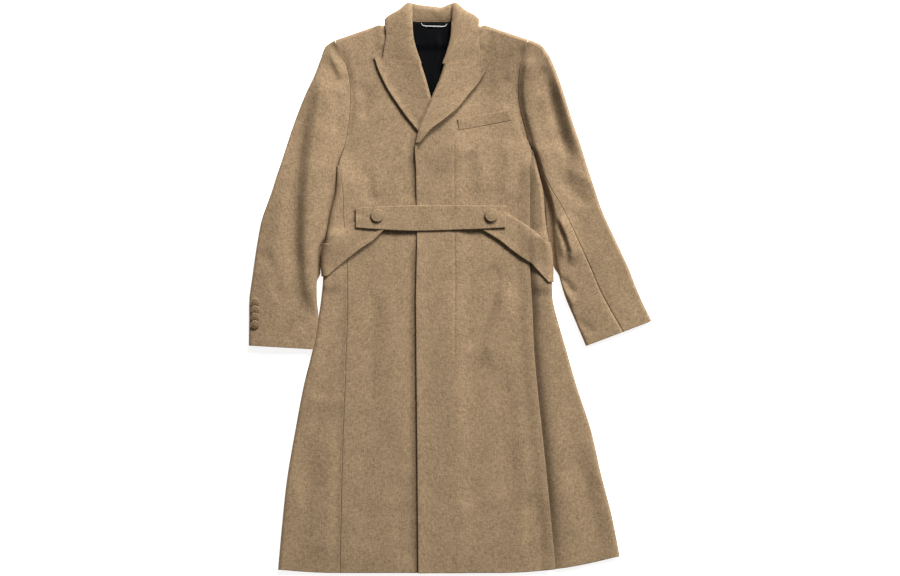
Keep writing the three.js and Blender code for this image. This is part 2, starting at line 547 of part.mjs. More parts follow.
// ---- lapels
// Each section starts under the roll against the front, turns round the roll and runs out on top.
function lapel(rows, height) {
  return wall(rows.map((row) => {
    const length = Math.hypot(row.edgeX - row.rollX, row.edgeY - row.rollY);
    const dirX = (row.edgeX - row.rollX) / length;
    const dirY = (row.edgeY - row.rollY) / length;
    const on = (distance) => [row.rollX + dirX * distance, row.rollY + dirY * distance];
    const [lipX, lipY] = on(ROLL_ALLOWANCE - SEAM - 0.9);
    const [x, y] = on(ROLL_FOLD);
    const lip = height(lipX, lipY);
    const base = height(x, y);
    const roll = foldPlaces({
      x, y, dirX: -dirX, dirY: -dirY, top: base + LAY + FRONT + row.spring, bottom: base - FRONT,
      reach: ROLL_FOLD, thickness: FRONT, steps: 4,
    });
    const leaf = [0.14, 0.3, 0.5, 0.75, 1].map((t) => {
      const [px, py] = on(mix(ROLL_FOLD, length, t));
      const z = height(px, py) + LAY + FRONT + row.spring * (1 - t) ** 1.5;
      return place(px, py, z, z - FRONT);
    });
    return [place(lipX, lipY, lip - FRONT, lip), ...roll, ...leaf];
  }));
}
add('lapel_right', lapel(RIGHT_LAPEL, laid));
add('lapel_left', lapel(LEFT_LAPEL, laidOver));

// ---- collar
// A smooth line through the six points of a station. The crest sags a little at one side of the nape.
function station(row, sign) {
  const six = [row.seam, row.stand, row.crest, row.leaf, row.turn, row.edge];
  const through = six.map(([out, y, z]) => new THREE.Vector3(COLLAR_CENTRE + sign * out, y, z));
  const curve = new THREE.CatmullRomCurve3(through, false, 'centripetal');
  return Array.from({ length: 11 }, (_, k) => {
    const point = curve.getPoint(k / 10);
    point.y -= (4 * bell(point.x + 18, 14) - 0.8) * ease((point.y - 562) / 20);
    point.z = Math.max(0, point.z);
    return point;
  });
}

// The inside of a skin lies at the cloth's thickness along the skin's own normal.
function thicken(rows, thickness, flip) {
  const at = (i, j) => rows[Math.min(rows.length - 1, Math.max(0, i))][
    Math.min(rows[0].length - 1, Math.max(0, j))];
  return rows.map((row, i) => row.map((outer, j) => {
    const down = new THREE.Vector3().subVectors(at(i + 1, j), at(i - 1, j));
    const along = new THREE.Vector3().subVectors(at(i, j + 1), at(i, j - 1));
    const normal = down.cross(along).normalize().multiplyScalar(flip * thickness);
    const inner = outer.clone().add(normal);
    inner.z = Math.max(0, inner.z);
    return { outer, inner };
  }));
}

function collar() {
  const rightHalf = COLLAR.map((row) => station(row, -1)).reverse();
  const leftHalf = COLLAR.slice(1).map((row) => station(row, 1));
  return wall(thicken([...rightHalf, ...leftHalf], FRONT, 1));
}
add('collar', collar());

// ---- sleeves
// A place on a sleeve's ring. q runs from -1 to 0 along the underside to the inner fold, to 1 round
// that fold, to 2 across the top, to 3 round the outer fold and to 4 back along the underside.
function ringAt(row, q) {
  const width = Math.hypot(row.outX - row.inX, row.outY - row.inY);
  const dirX = (row.outX - row.inX) / width;
  const dirY = (row.outY - row.inY) / width;
  const open = row.inner === undefined;
  const innerTop = open ? laid(row.inX, row.inY) : row.inner;
  const outerTop = row.outer || innerTop;
  const reach = Math.min(SIDE_FOLD, width - 0.01);
  const first = open ? 0 : reach;
  const last = width - reach;
  const on = (w) => [row.inX + dirX * mix(first, last, w), row.inY + dirY * mix(first, last, w)];
  const arc = (w, sign, top, angle) => {
    const [x, y] = on(w);
    return foldPlaces({ x, y, dirX: sign * dirX, dirY: sign * dirY, top, bottom: 0, reach,
      thickness: CLOTH, steps: 1, from: angle, to: angle })[0];
  };
  if (q >= 0 && q < 1 && !open) return arc(0, -1, innerTop, 180 * q - 90);
  if (q > 2 && q < 3) return arc(1, 1, outerTop, 90 - 180 * (q - 2));
  if (q >= 1 && q <= 2) {
    const [x, y] = on(q - 1);
    const z = mix(innerTop, outerTop, q - 1) + row.crown * Math.sin(Math.PI * (q - 1));
    return place(x, y, z, z - CLOTH);
  }
  const [x, y] = on(q < 1 ? -Math.min(q, 0) : 4 - q);
  return place(x, y, 0, CLOTH);
}

// Positions along the ring: each stretch [from, to, steps], ends shared.
function spread(...stretches) {
  const list = [stretches[0][0]];
  for (const [from, to, steps] of stretches) {
    for (let k = 1; k <= steps; k += 1) list.push(mix(from, to, k / steps));
  }
  return list;
}

// Half a seam's gap, as a share of the stretch of the ring that holds it.
function halfGap(row, q) {
  const width = Math.hypot(row.outX - row.inX, row.outY - row.inY);
  const onFold = (q >= 0 && q < 1) || (q > 2 && q < 3);
  return SEAM / 2 / (onFold ? 20 : Math.max(8, width - 2 * SIDE_FOLD));
}

function topSleeve(rows, underSeam, steps) {
  return wall(rows.map((row) => {
    const open = row.seam === undefined;
    const start = open ? 1 : row.seam + halfGap(row, row.seam);
    const flat = Math.max(1, start + 0.15);
    const end = 4 + underSeam - halfGap(row, underSeam);
    const list = spread([start, flat, steps.inner], [flat, 2, 4], [2, 3, 3], [3, end, steps.below]);
    return list.map((q) => ringAt(row, q));
  }));
}

function underSleeve(rows, underSeam, steps) {
  return wall(rows.map((row) => {
    const open = row.seam === undefined;
    const start = underSeam + halfGap(row, underSeam);
    const end = open ? 0 : row.seam - halfGap(row, row.seam);
    const bottom = Math.min(0, end - 0.3);
    const fold = Math.min(1, end - 0.1);
    const list = spread([start, bottom, 3], [bottom, fold, steps.fold], [fold, end, steps.top]);
    return list.map((q) => ringAt(row, q));
  }));
}
add('sleeve_right_top', topSleeve(RIGHT_SLEEVE, -0.9, { inner: 3, below: 1 }));
add('sleeve_right_under', underSleeve(RIGHT_SLEEVE, -0.9, { fold: 1, top: 1 }));
add('sleeve_left_top', topSleeve(LEFT_SLEEVE, -0.5, { inner: 2, below: 2 }));
add('sleeve_left_under', underSleeve(LEFT_SLEEVE, -0.5, { fold: 4, top: 2 }));

// ---- belt
// A band lies on the panels, turns round the side fold outside the panel and ends underneath.
function beltBand(rows, side, sign, wrap, height) {
  const steps = [0, 1 / 3, 2 / 3, 1];
  const flat = rows.map((row) => steps.map((t) => {
    const x = mix(row.upX, row.lowX, t);
    const y = mix(row.upY, row.lowY, t);
    const z = height(x, y) + BELT_LAY + BELT;
    return place(x, y, z, z - BELT);
  }));
  const folds = steps.map((t) => {
    const y = mix(wrap.up, wrap.low, t);
    const turn = readAt(side, 'fold', y) - sign * SIDE_FOLD;
    return foldPlaces({
      x: turn, y, dirX: sign, dirY: 0, top: height(turn, y) + BELT_LAY + BELT, bottom: 0,
      reach: SIDE_FOLD + SEAM + BELT, thickness: BELT, steps: 4, from: 90, to: -90,
    });
  });
  const round = [0, 1, 2, 3, 4].map((k) => folds.map((fold) => fold[k]));
  const below = [0.5, 1].map((s) => steps.map((t) => {
    const y = mix(wrap.up, wrap.low, t);
    const turn = readAt(side, 'fold', y) - sign * SIDE_FOLD;
    return place(turn - sign * s * (WRAP_REACH - SIDE_FOLD), y, 0, BELT);
  }));
  return wall([...flat, ...round, ...below]);
}
add('belt_band_right', beltBand(RIGHT_BAND, RIGHT_SIDE, -1, BAND_WRAP.right, laid));
add('belt_band_left', beltBand(LEFT_BAND, LEFT_SIDE, 1, BAND_WRAP.left, laidLeftBand));

const strapTop = (x, y) => laid(x, y) + BELT_LAY + BELT + BELT_LAY + STRAP;
function beltStrap() {
  const rows = STRAP_ROWS.map(({ x, top, bottom }) => [0, 1 / 3, 2 / 3, 1].map((t) => {
    const y = mix(top, bottom, t);
    const z = strapTop(x, y);
    return place(x, y, z, z - STRAP);
  }));
  return wall(rows);
}
add('belt_strap', beltStrap());

// ---- chest welt
function chestWelt() {
  const { topFront, topSide, lowSide, lowFront } = WELT_CORNERS;
  const rows = [0, 1 / 6, 2 / 6, 3 / 6, 4 / 6, 5 / 6, 1].map((s) => [0, 0.5, 1].map((t) => {
    const x = mix(mix(topFront[0], topSide[0], s), mix(lowFront[0], lowSide[0], s), t);
    const y = mix(mix(topFront[1], topSide[1], s), mix(lowFront[1], lowSide[1], s), t);
    const z = laidOver(x, y) + BELT_LAY + WELT;
    return place(x, y, z, z - WELT);
  }));
  return wall(rows);
}
add('chest_welt', chestWelt());

// ---- buttons
// A cloth-covered button: a flat back, a round rim and a low dome.
function coveredButton(diameter, height, segments) {
  const r = diameter / 2;
  const profile = [
    [0, 0], [0.7 * r, 0], [0.95 * r, 0.18 * height], [r, 0.42 * height],
    [0.9 * r, 0.72 * height], [0.6 * r, 0.93 * height], [0, height],
  ].map(([x, y]) => new THREE.Vector2(x, y));
  const geometry = new THREE.LatheGeometry(profile, segments);
  return geometry.rotateX(Math.PI / 2);
}

// Highest point of what a round piece lies on.
function highestUnder(height, x, y, radius) {
  const around = Array.from({ length: 12 }, (_, k) => (k * Math.PI) / 6);
  const heights = around.map((a) => height(x + radius * Math.cos(a), y + radius * Math.sin(a)));
  return Math.max(height(x, y), ...heights);
}

for (const [side, [x, y]] of Object.entries(BELT_BUTTONS)) {
  const button = add(`belt_button_${side}`, coveredButton(BELT_BUTTON, 7, 20));
  button.position.set(x, y, highestUnder(strapTop, x, y, BELT_BUTTON / 2) + SEAM);
}

// The cuff's buttons overlap, so each leans with its upper edge on the next.
const CUFF_LEAN = 17;
CUFF_BUTTONS.forEach(([x, y], k) => {
  const button = add(`cuff_button_${k + 1}`, coveredButton(CUFF_BUTTON, 4, 16));
  button.position.set(x, y, 18.2);
  button.rotation.set(THREE.MathUtils.degToRad(CUFF_LEAN), 0, 0);
});

// ---- stand the coat on its origin: the middle of its outline, on the surface it lies on
const box = new THREE.Box3().setFromObject(coat, true);
const centre = box.getCenter(new THREE.Vector3());
coat.position.set(-centre.x, -centre.y, -box.min.z);

export default coat;
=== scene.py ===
# %% [markdown]
# # A laid-out wool overcoat
# This lesson dresses a rigid model of a long overcoat. The coat lies flat on its back, so every
# piece of cloth is a thin shell over the piece below it. We load the fixed frame first: its solids
# say where each pattern piece is, and the cloth we make takes their place.

# %% Load the frame
import math

import bpy
import numpy as np
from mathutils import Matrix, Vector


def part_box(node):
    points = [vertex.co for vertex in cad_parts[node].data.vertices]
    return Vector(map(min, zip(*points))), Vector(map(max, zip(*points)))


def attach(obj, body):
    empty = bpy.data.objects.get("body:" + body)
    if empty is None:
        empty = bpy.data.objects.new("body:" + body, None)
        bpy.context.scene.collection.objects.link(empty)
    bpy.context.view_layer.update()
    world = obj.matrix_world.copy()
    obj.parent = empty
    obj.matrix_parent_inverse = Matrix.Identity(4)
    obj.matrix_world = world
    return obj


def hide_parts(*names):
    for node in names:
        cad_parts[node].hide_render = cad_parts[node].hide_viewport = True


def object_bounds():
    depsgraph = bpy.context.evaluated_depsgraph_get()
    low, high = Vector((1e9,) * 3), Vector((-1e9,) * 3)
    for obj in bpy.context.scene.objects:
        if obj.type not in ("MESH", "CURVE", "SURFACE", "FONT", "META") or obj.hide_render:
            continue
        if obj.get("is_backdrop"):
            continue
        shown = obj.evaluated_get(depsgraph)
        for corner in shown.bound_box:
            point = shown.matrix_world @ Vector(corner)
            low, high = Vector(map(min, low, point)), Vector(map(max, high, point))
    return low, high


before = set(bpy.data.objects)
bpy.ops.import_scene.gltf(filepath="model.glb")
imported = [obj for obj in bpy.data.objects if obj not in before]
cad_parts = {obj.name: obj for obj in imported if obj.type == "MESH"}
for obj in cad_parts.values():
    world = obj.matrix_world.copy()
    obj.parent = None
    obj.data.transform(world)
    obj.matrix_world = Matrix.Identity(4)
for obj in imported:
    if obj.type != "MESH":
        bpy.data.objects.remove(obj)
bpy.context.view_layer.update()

button_low, button_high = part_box("belt_button_right")

# %% [markdown]
# ## A tailor's table
# A tailor measures from the middle of the table, in millimetres. The frame's own origin is the
# middle of the coat's outline, which is a hair away from that. One belt button tells us by how
# much: we know its place on the table, and the frame says where it ended up.

# %% Units and the shift from table to frame
MM = 0.001
BUTTON_ON_TABLE = (-152.7, 153.0)
SHIFT_X = (button_low.x + button_high.x) / 2 - BUTTON_ON_TABLE[0] * MM
SHIFT_Y = (button_low.y + button_high.y) / 2 - BUTTON_ON_TABLE[1] * MM
print("shift of the frame in mm:", round(SHIFT_X / MM, 2), round(SHIFT_Y / MM, 2))

# %% [markdown]
# ## How thick and how loose
# A tailor knows the cloth by its thickness and by how much room each layer leaves to the next one.
# These few numbers, all in millimetres, set every height of the coat.

# %% Thicknesses, gaps and allowances
CLOTH = 2.5
FRONT = 3.0
BELT = 3.5
STRAP = 3.2
COLLAR_CLOTH = 1.8
LINING = 0.8
WELT = 2.0
SEAM = 0.3
LAY = 0.6
BELT_LAY = 1.2
LIE = 8.0
LOWEST_TOP = 5.6
SIDE_FOLD = 8.0
ROLL_FOLD = 7.0
ROLL_ALLOWANCE = 10.0
SIDE_LAP = 3.6
OVERLAP_LIFT = 3.9
COLLAR_CENTRE = -38.0
HEM = -598.0
print("a single front lies", LIE, "mm over the table; its cloth is", FRONT, "mm thick")

# %% [markdown]
# ## Curves through a few measured points
# A pattern is drawn through few points with a smooth line. `smooth` is that line: a cubic between
# neighbouring points, whose slope at each point is the mean of the slopes on both sides. The
# softer shapes use two more tools: `ease`, an S from 0 to 1, and `bell`, a bump that fades out.


# %% Small maths
def mix(a, b, t):
    """From a at t = 0 to b at t = 1, in a straight line."""
    return a + (b - a) * t


def ease(t):
    """S-curve: 3t squared minus 2t cubed, held at 0 and 1 outside."""
    t = np.clip(t, 0.0, 1.0)
    return t * t * (3 - 2 * t)


def bell(distance, width):
    """e to the minus (distance over width) squared."""
    return np.exp(-((distance / width) ** 2))


def running(points):
    """Length run so far at each point of a line, or at each number of a column."""
    steps = np.diff(points, axis=0).reshape(len(points) - 1, -1)
    return np.concatenate([[0.0], np.cumsum(np.linalg.norm(steps, axis=1))])


def smooth(knots, values, at):
    """Cubic through the values at the knots, slopes being the mean of both chords."""
    knots = np.asarray(knots, float)
    values = np.asarray(values, float)
    if knots[0] > knots[-1]:
        knots, values = knots[::-1], values[::-1]
    at = np.clip(np.asarray(at, float), knots[0], knots[-1])
    extra = (1,) * (values.ndim - 1)
    chord = np.diff(values, axis=0) / np.diff(knots).reshape(-1, *extra)
    slope = np.concatenate([chord[:1], (chord[1:] + chord[:-1]) / 2, chord[-1:]])
    i = np.clip(np.searchsorted(knots, at, side="right") - 1, 0, len(knots) - 2)
    width = (knots[i + 1] - knots[i]).reshape(at.shape + extra)
    t = (at - knots[i]).reshape(at.shape + extra) / width
    rise = values[i] * (2 * t**3 - 3 * t**2 + 1) + values[i + 1] * (3 * t**2 - 2 * t**3)
    lean = slope[i] * (t**3 - 2 * t**2 + t) + slope[i + 1] * (t**3 - t**2)
    return rise + lean * width


def spaced(length, step, rim=2.6):
    """Positions from 0 to length: a few close ones at both ends for the turned edge."""
    close = np.array([0.0, 0.35, 0.9, 1.6, rim])
    if length < 4 * rim:
        return np.linspace(0.0, length, max(6, int(length / 1.2) + 2))
    count = max(2, int(np.ceil((length - 2 * rim) / step)) + 1)
    return np.concatenate([close[:-1], np.linspace(rim, length - rim, count), length - close[-2::-1]])


print("ease and bell halfway:", float(ease(0.5)), round(float(bell(1, 1)), 3))

# %% [markdown]
# ## Creases, one by one
# Heavy wool doesn't wrinkle, it rolls: a coat laid out by hand has a few long soft folds, each with
# a steeper and a flatter flank, and no two alike. Noise would give cloth a regular quilted look,
# so each crease here is given one by one, as a line of points with a rise and a width on its left
# and on its right, looking along the line.


# %% The crease tool
def crease(x, y, path, rise, left, right, fade=0.25):
    """Bump of the given rise along a broken line. Across it falls as a bell, left wide on one
    side and right wide on the other. It fades in and out over the first and last share."""
    points = np.asarray(path, float)
    legs = np.diff(points, axis=0)
    starts = running(points)
    lengths = np.diff(starts)
    nearest = np.full(np.shape(x), 1e9)
    across = np.zeros(np.shape(x))
    along = np.zeros(np.shape(x))
    for point, leg, length, start in zip(points, legs, lengths, starts):
        rx, ry = x - point[0], y - point[1]
        t = np.clip((rx * leg[0] + ry * leg[1]) / length**2, 0.0, 1.0)
        distance = np.hypot(rx - t * leg[0], ry - t * leg[1])
        closer = distance < nearest
        side = np.sign(leg[0] * ry - leg[1] * rx)
        nearest = np.where(closer, distance, nearest)
        across = np.where(closer, side, across)
        along = np.where(closer, (start + t * length) / starts[-1], along)
    width = np.where(across > 0, left, right)
    return rise * bell(nearest, width) * ease(along / fade) * ease((1 - along) / fade)


def creased(x, y, table):
    """Sum of all the creases of a table."""
    return sum(crease(x, y, *row) for row in table)


one_crease = crease(np.array(10.0), np.array(0.0), [(0, 50), (0, -50)], 5, 10, 20)
print("a crease of 5 mm, 10 mm off its line:", round(float(one_crease), 2), "mm")

# %% [markdown]
# ## The creases of the body
# These are the long soft folds of the skirt, the drag lines at the belt, the waist and the chest,
# the hollows beside the armholes, and the pressed hollow down the front edge. Each row holds a
# path, a rise, and the widths on its left and right; a fifth number is the share that fades out.

# %% Creases of the body
BODY_CREASES = [
    ([(122, 322), (124, 250), (120, 176)], 3.6, 30, 15),
    ([(60, 300), (66, 240), (62, 196)], 2.0, 16, 14),
    ([(96, 60), (90, 0), (76, -46), (58, -92), (38, -136)], -6.5, 12, 18),
    ([(128, 20), (114, -46), (92, -104), (70, -170)], 5.6, 20, 20),
    ([(-162, 20), (-160, -70), (-166, -160), (-163, -250)], -1.6, 12, 18),
    ([(-132, 60), (-126, -40), (-124, -150), (-116, -330)], 1.8, 16, 26),
    ([(-20, 90), (-8, -60), (12, -240), (20, -420)], 2.6, 26, 34),
    ([(110, -150), (122, -300), (128, -470)], -3.0, 18, 26),
    ([(166, -420), (170, -510), (178, -598)], -4.4, 32, 12, 0.3),
    ([(-213, 60), (-213, -62), (-217.5, -200), (-224, -402), (-228, -598)], 2.2, 30, 8, 0.05),
    ([(-219, 290), (-228, 207), (-240, 154), (-251, 95), (-256, 40)], 6.0, 62, 9, 0.3),
    ([(150, -250), (158, -380), (160, -560)], 1.6, 26, 26),
    ([(-296, -230), (-304, -340), (-308, -500)], -4.4, 34, 22, 0.45),
    ([(-250, -270), (-258, -430), (-264, -598)], 4.2, 16, 44, 0.2),
    ([(-300, -232), (-250, -240), (-212, -236)], 1.2, 10, 16),
    ([(-262, -60), (-282, -180), (-318, -400), (-330, -540)], 3.0, 14, 22),
    ([(-96, -380), (-104, -480), (-100, -590)], -2.4, 16, 20),
    ([(-176, 262), (-168, 200), (-150, 176)], -2.4, 10, 15),
    ([(-104, 262), (-92, 220), (-96, 180)], -2.0, 12, 14),
    ([(40, -430), (34, -520), (40, -598)], 2.6, 20, 22),
    ([(252, -330), (292, -460), (318, -570)], -3.4, 20, 24),
    ([(286, -300), (318, -420)], 2.4, 14, 18),
    ([(-190, 440), (-176, 400), (-182, 350)], -2.5, 12, 16),
    ([(118, 452), (126, 410), (118, 372)], -2.4, 14, 14),
    ([(163, 512), (150, 480), (142.5, 449), (141.5, 415), (146, 383), (155.6, 342), (170, 299)],
     -5.0, 8, 12, 0.12),
    ([(-236, 514), (-224, 482), (-212, 440), (-208, 395), (-212, 350), (-222, 300)], -3.0, 9, 8, 0.15),
    ([(-82, 280), (-84, 230), (-82, 184)], -2.4, 8, 13),
    ([(-82, 100), (-85, -60), (-84, -300), (-82, -590)], -1.8, 8, 11, 0.05),
]
print(len(BODY_CREASES), "creases on the body of the coat")

# %% [markdown]
# ## Measured lines of the pattern
# The coat is drawn as tables, one row for each height: where the front seam, the side fold and
# the back seam of each side panel lie, where the armhole runs, and where the lapel rolls. Right
# and left are the wearer's, so right is the side of negative x.

# %% Tables of the body
SIDE = ("y", "seam", "fold", "back", "rise")
RIGHT_SIDE = np.array([
    (259, -233, -238.5, -222.6, 35), (207, -225, -240.3, -209, 0), (154, -223.7, -252.3, -205, 0),
    (120, -221, -258, -205, 0), (95, -218.8, -261.8, -206, 0), (71.7, -217.2, -267, -206, 0),
    (48.3, -216.3, -268, -206, 0), (25, -215.8, -266.5, -207, 0), (-24, -215.2, -271, -209, 0),
    (-62, -215.5, -276.6, -212, 0), (-119, -218, -286.4, -216, 0), (-200, -220.5, -306.5, -222, 0),
    (-301, -224.3, -325.5, -228, 0), (-402, -227.2, -342.3, -233, 0), (-503, -229.5, -353, -237, 0),
    (HEM, -231.2, -361.5, -240, 0),
])
LEFT_SIDE = np.array([
    (290, 171.5, 177.4, 159.6, 36), (250, 167.4, 185, 157, 0), (207, 167.4, 195.5, 154, 0),
    (154, 167.4, 200, 158, 0), (120, 167.6, 204, 159, 0), (97, 168, 207.5, 160, 0),
    (69, 168, 212, 160, 0), (41, 168.3, 213.6, 160, 0), (13, 169.8, 214, 160, 0),
    (-24, 172, 216, 161, 0), (-62, 173.7, 225, 163, 0), (-119, 176, 241.5, 167, 0),
    (-200, 182.7, 264.6, 174, 0), (-301, 193.2, 296, 184, 0), (-402, 203.7, 317, 194, 0),
    (-503, 213.2, 340, 205, 0), (HEM, 221.5, 357, 214, 0),
])
EDGE_Y = np.array([291, 186, 100, -12, -165, -320, HEM])
OVER_EDGE_X = np.array([-72.5, -70.8, -69.3, -72, -70.8, -69.3, -66.8])
HIDDEN_EDGE_X = 8.4
# columns: armhole x and y, then roll line or front edge x and y
RIGHT_CHEST = np.array([
    (-238.6, 514.4, -102.1, 562), (-232.1, 496.7, -97, 542.9), (-218.4, 467.2, -88.2, 509.2),
    (-211.1, 433.7, -71.6, 475.7), (-210, 395.9, -60.2, 438), (-211.5, 360.2, -47.9, 396),
    (-217.1, 322.4, -33.5, 350), (-222.8, 295.1, -21.8, 309.5), (-233, 260.5, 8.4, 286),
])
LEFT_CHEST = np.array([
    (160.9, 514.4, 34.9, 558.5), (156.5, 494, 23, 538.6), (147, 467.2, 14.5, 509.2),
    (142.8, 433.7, -2.2, 475.7), (143, 404.2, -13.8, 438), (148, 370, -28.4, 402.2),
    (158, 333, -44.5, 362), (165, 308, -61, 307.5), (171.5, 289, -72.6, 302.5),
])


def side_at(table, column, y):
    """A column of a side panel's table at any height y, as a smooth line."""
    return smooth(table[:, 0], table[:, SIDE.index(column)], y)


HEM_LEVEL = (-230, 99)
HEM_CURVE = (0.00045, 0.00055)
SKIRT_TOP = -150


def hung(x, y):
    """The hem climbs at both sides by the square of the distance past its level part, and points
    low on the skirt move up with it."""
    right, left = np.minimum(0, x - HEM_LEVEL[0]), x - HEM_LEVEL[1]
    rise = np.where(left > 0, HEM_CURVE[1] * left**2, HEM_CURVE[0] * right**2)
    return y + rise * ease((SKIRT_TOP - y) / (SKIRT_TOP - HEM))


print("widest at the hem:", RIGHT_SIDE[-1, 2], LEFT_SIDE[-1, 2])

# %% [markdown]
# ## How high each layer lies
# A laid coat is a stack: back, lining, fronts, belt. The heights are functions of the place on the
# table, so a lapel, a belt or a welt can be laid on the very panel it is sewn to, creases included.


# %% Heights of the layers
RIGHT_HEAD = (-238, 500)
LEFT_HEAD = (205, 522)
SOFT_HEAD = 3
PADDED_HEAD = 38
SIDE_ROLL = 3.5
SIDE_ROLL_WIDTH = 28


def under(x, y):
    """Underside of the coat: the table, the collar's fall at the nape, the belt's ends."""
    over_collar = (FRONT + SEAM) * ease((y - 497) / 18) * ease((124 - abs(x - COLLAR_CENTRE)) / 20)
    right = ease((72 - abs(y - 60)) / 22) * ease((52 - (x - side_at(RIGHT_SIDE, "fold", y))) / 24)
    left = ease((72 - abs(y - 55)) / 22) * ease((52 - (side_at(LEFT_SIDE, "fold", y) - x)) / 24)
    return over_collar + (BELT + SEAM) * np.maximum(right, left)


def laid(x, y):
    """Top of a single front or side panel on the back, with its creases."""
    right_head = SOFT_HEAD * bell(np.hypot(x - RIGHT_HEAD[0], y - RIGHT_HEAD[1]), 70)
    left_head = PADDED_HEAD * bell(np.hypot(x - LEFT_HEAD[0], y - LEFT_HEAD[1]), 100)
    shoulders = right_head + left_head * ease((x - 50) / 50)
    below_arm = ease((300 - y) / 60) * (1 + 1.2 * ease((y - 20) / 80))
    right_fold = x - side_at(RIGHT_SIDE, "fold", y)
    left_fold = x - side_at(LEFT_SIDE, "fold", y)
    rolls = bell(right_fold, SIDE_ROLL_WIDTH) + bell(left_fold, SIDE_ROLL_WIDTH)
    sides = SIDE_ROLL * below_arm * rolls
    form = LIE + shoulders + sides + creased(x, y, BODY_CREASES)
    return under(x, y) + np.maximum(form, LOWEST_TOP)


print("front stands", round(float(laid(np.array(-100.0), np.array(0.0))), 2), "mm over the table")

# %% [markdown]
# ## Where one panel rises over another
# The left front crosses the right one, so it climbs over that hidden edge and comes down again. Its
# own edge stands off a little, except where the belt holds it. The left side panel lies low at
# its seam and swells up beside it, which gives the long dark hollow down that side.

# %% Heights of the left side
BELT_LINE = 148
LAPEL_UNDER = 8.6
EDGE_STANDS = (3.6, 2.6)
SWELL = 15
SWELL_LENGTH = 18
SWELL_WIDTH = 72


def swell(x, y):
    """The left side panel rises steeply from its seam and then flattens: one minus e to the minus
    distance over a length. It sinks again towards the side."""
    past = np.maximum(x - side_at(LEFT_SIDE, "seam", y), 0.0)
    size = SWELL * mix(1.0, 0.3, ease((y - 8) / 46)) * mix(1.0, 0.3, ease((-400 - y) / 190))
    return size * (1 - np.exp(-past / SWELL_LENGTH)) * bell(past, SWELL_WIDTH) * ease((300 - y) / 60)


def hidden_edge(y):
    """Edge of what lies under the left front: the right lapel's roll, then the right front."""
    return np.interp(-y, [-400, -350, -303, -288, -HEM], [-37, -21, -2, 12, 12])


def laid_over(x, y):
    """Top of the left front, which rises over the right one and at its own side seam."""
    past = x - hidden_edge(y)
    lapel_under = LAPEL_UNDER * ease((y - 190) / 108) * ease((500 - y) / 140)
    front_under = OVERLAP_LIFT * ease((300 - y) / 36)
    held = 1 - ease((62 - abs(y - BELT_LINE)) / 30)
    from_edge = x - np.interp(-y, -EDGE_Y, OVER_EDGE_X)
    stands = mix(*EDGE_STANDS, ease((y - 60) / 60))
    edge = stands * held * ease((290 - y) / 50) * bell(from_edge, 17)
    seam = SIDE_LAP * ease((300 - y) / 50) * ease((x - side_at(LEFT_SIDE, "seam", y) + 30) / 24)
    slope = mix(32, 100, ease((y - 262) / 50))
    lift = np.maximum(lapel_under, front_under) * ease(1 - (past - 2) / slope)
    return laid(x, y) + lift + edge + seam


def laid_left_band(x, y):
    """What the left band lies on: the front, then a slope down past its side seam."""
    past = x - side_at(LEFT_SIDE, "seam", y)
    beyond = laid(x, y) + swell(x, y) + SIDE_LAP * (1 - ease(past / 26))
    return np.where(past < 0, laid_over(x, y), beyond)


over = float(laid_over(np.array(-60.0), np.array(0.0)))
print("left front stands", round(over, 2), "mm over the table")

# %% [markdown]
# ## From two skins to a closed piece of cloth
# Cloth has two faces and a turned edge. Each piece here is computed as two grids of points, its
# outside and its inside. `sew` joins them into one closed mesh. Near the border the two skins draw
# together along a quarter circle, as a pressed edge does, so that neighbouring panels meet in a
# small rounded groove: that groove is what makes a seam readable. The mesh also gets a UV map in
# real metres along the cloth, so that the weave keeps its scale and turns with each sleeve.

# %% The rounded edge
EDGE_SHARE = 0.42


def lengths_along(grid, axis):
    """Running length along one axis of a grid of points."""
    steps = np.linalg.norm(np.diff(grid, axis=axis), axis=-1)
    start = np.zeros_like(np.take(steps, [0], axis=axis))
    return np.concatenate([start, np.cumsum(steps, axis=axis)], axis=axis)


def rounded(outer, inner, radius=1.5, sides=(1, 1, 1, 1)):
    """Draws both skins together near the border: the share is 0.42 (1 - root(1 - s squared)),
    where s is 1 at the border and 0 one radius inside it. sides: first and last row, then
    first and last column."""
    down = lengths_along(outer, 0)
    across = lengths_along(outer, 1)
    gaps = [down, down[-1:] - down, across, across[:, -1:] - across]
    near = np.full(down.shape, 1e9)
    for gap, used in zip(gaps, sides):
        near = np.minimum(near, gap) if used else near
    s = np.clip(1 - near / radius, 0.0, 1.0)
    share = (EDGE_SHARE * (1 - np.sqrt(1 - s**2)))[..., None]
    return outer + (inner - outer) * share, inner + (outer - inner) * share


print("an edge closes by", EDGE_SHARE, "of the cloth from each face")

# %% [markdown]
# ## Faces, map and place
# A modifier could give a sheet its thickness, but it would cut corners at the folds, where inside
# and outside have different lengths. So both skins are worked out as points, the faces between
# them follow from the grid, and `lay_down` puts the finished piece on the table.


# %% Faces and pieces
def grid_faces(rows, columns, start, flip):
    """Four-cornered faces between the points of a grid."""
    i, j = np.meshgrid(np.arange(rows - 1), np.arange(columns - 1), indexing="ij")
    a = (start + i * columns + j).ravel()
    quad = np.stack([a, a + columns, a + columns + 1, a + 1], axis=1)
    return quad[:, ::-1] if flip else quad


def rim_faces(rows, columns):
    """Faces that close the border between the outer grid and the inner one."""
    count = rows * columns
    grid = np.arange(count).reshape(rows, columns)
    loop = np.concatenate([grid[0, :-1], grid[:-1, -1], grid[-1, :0:-1], grid[:0:-1, 0]])
    after = np.roll(loop, -1)
    return np.stack([loop, after, after + count, loop + count], axis=1)


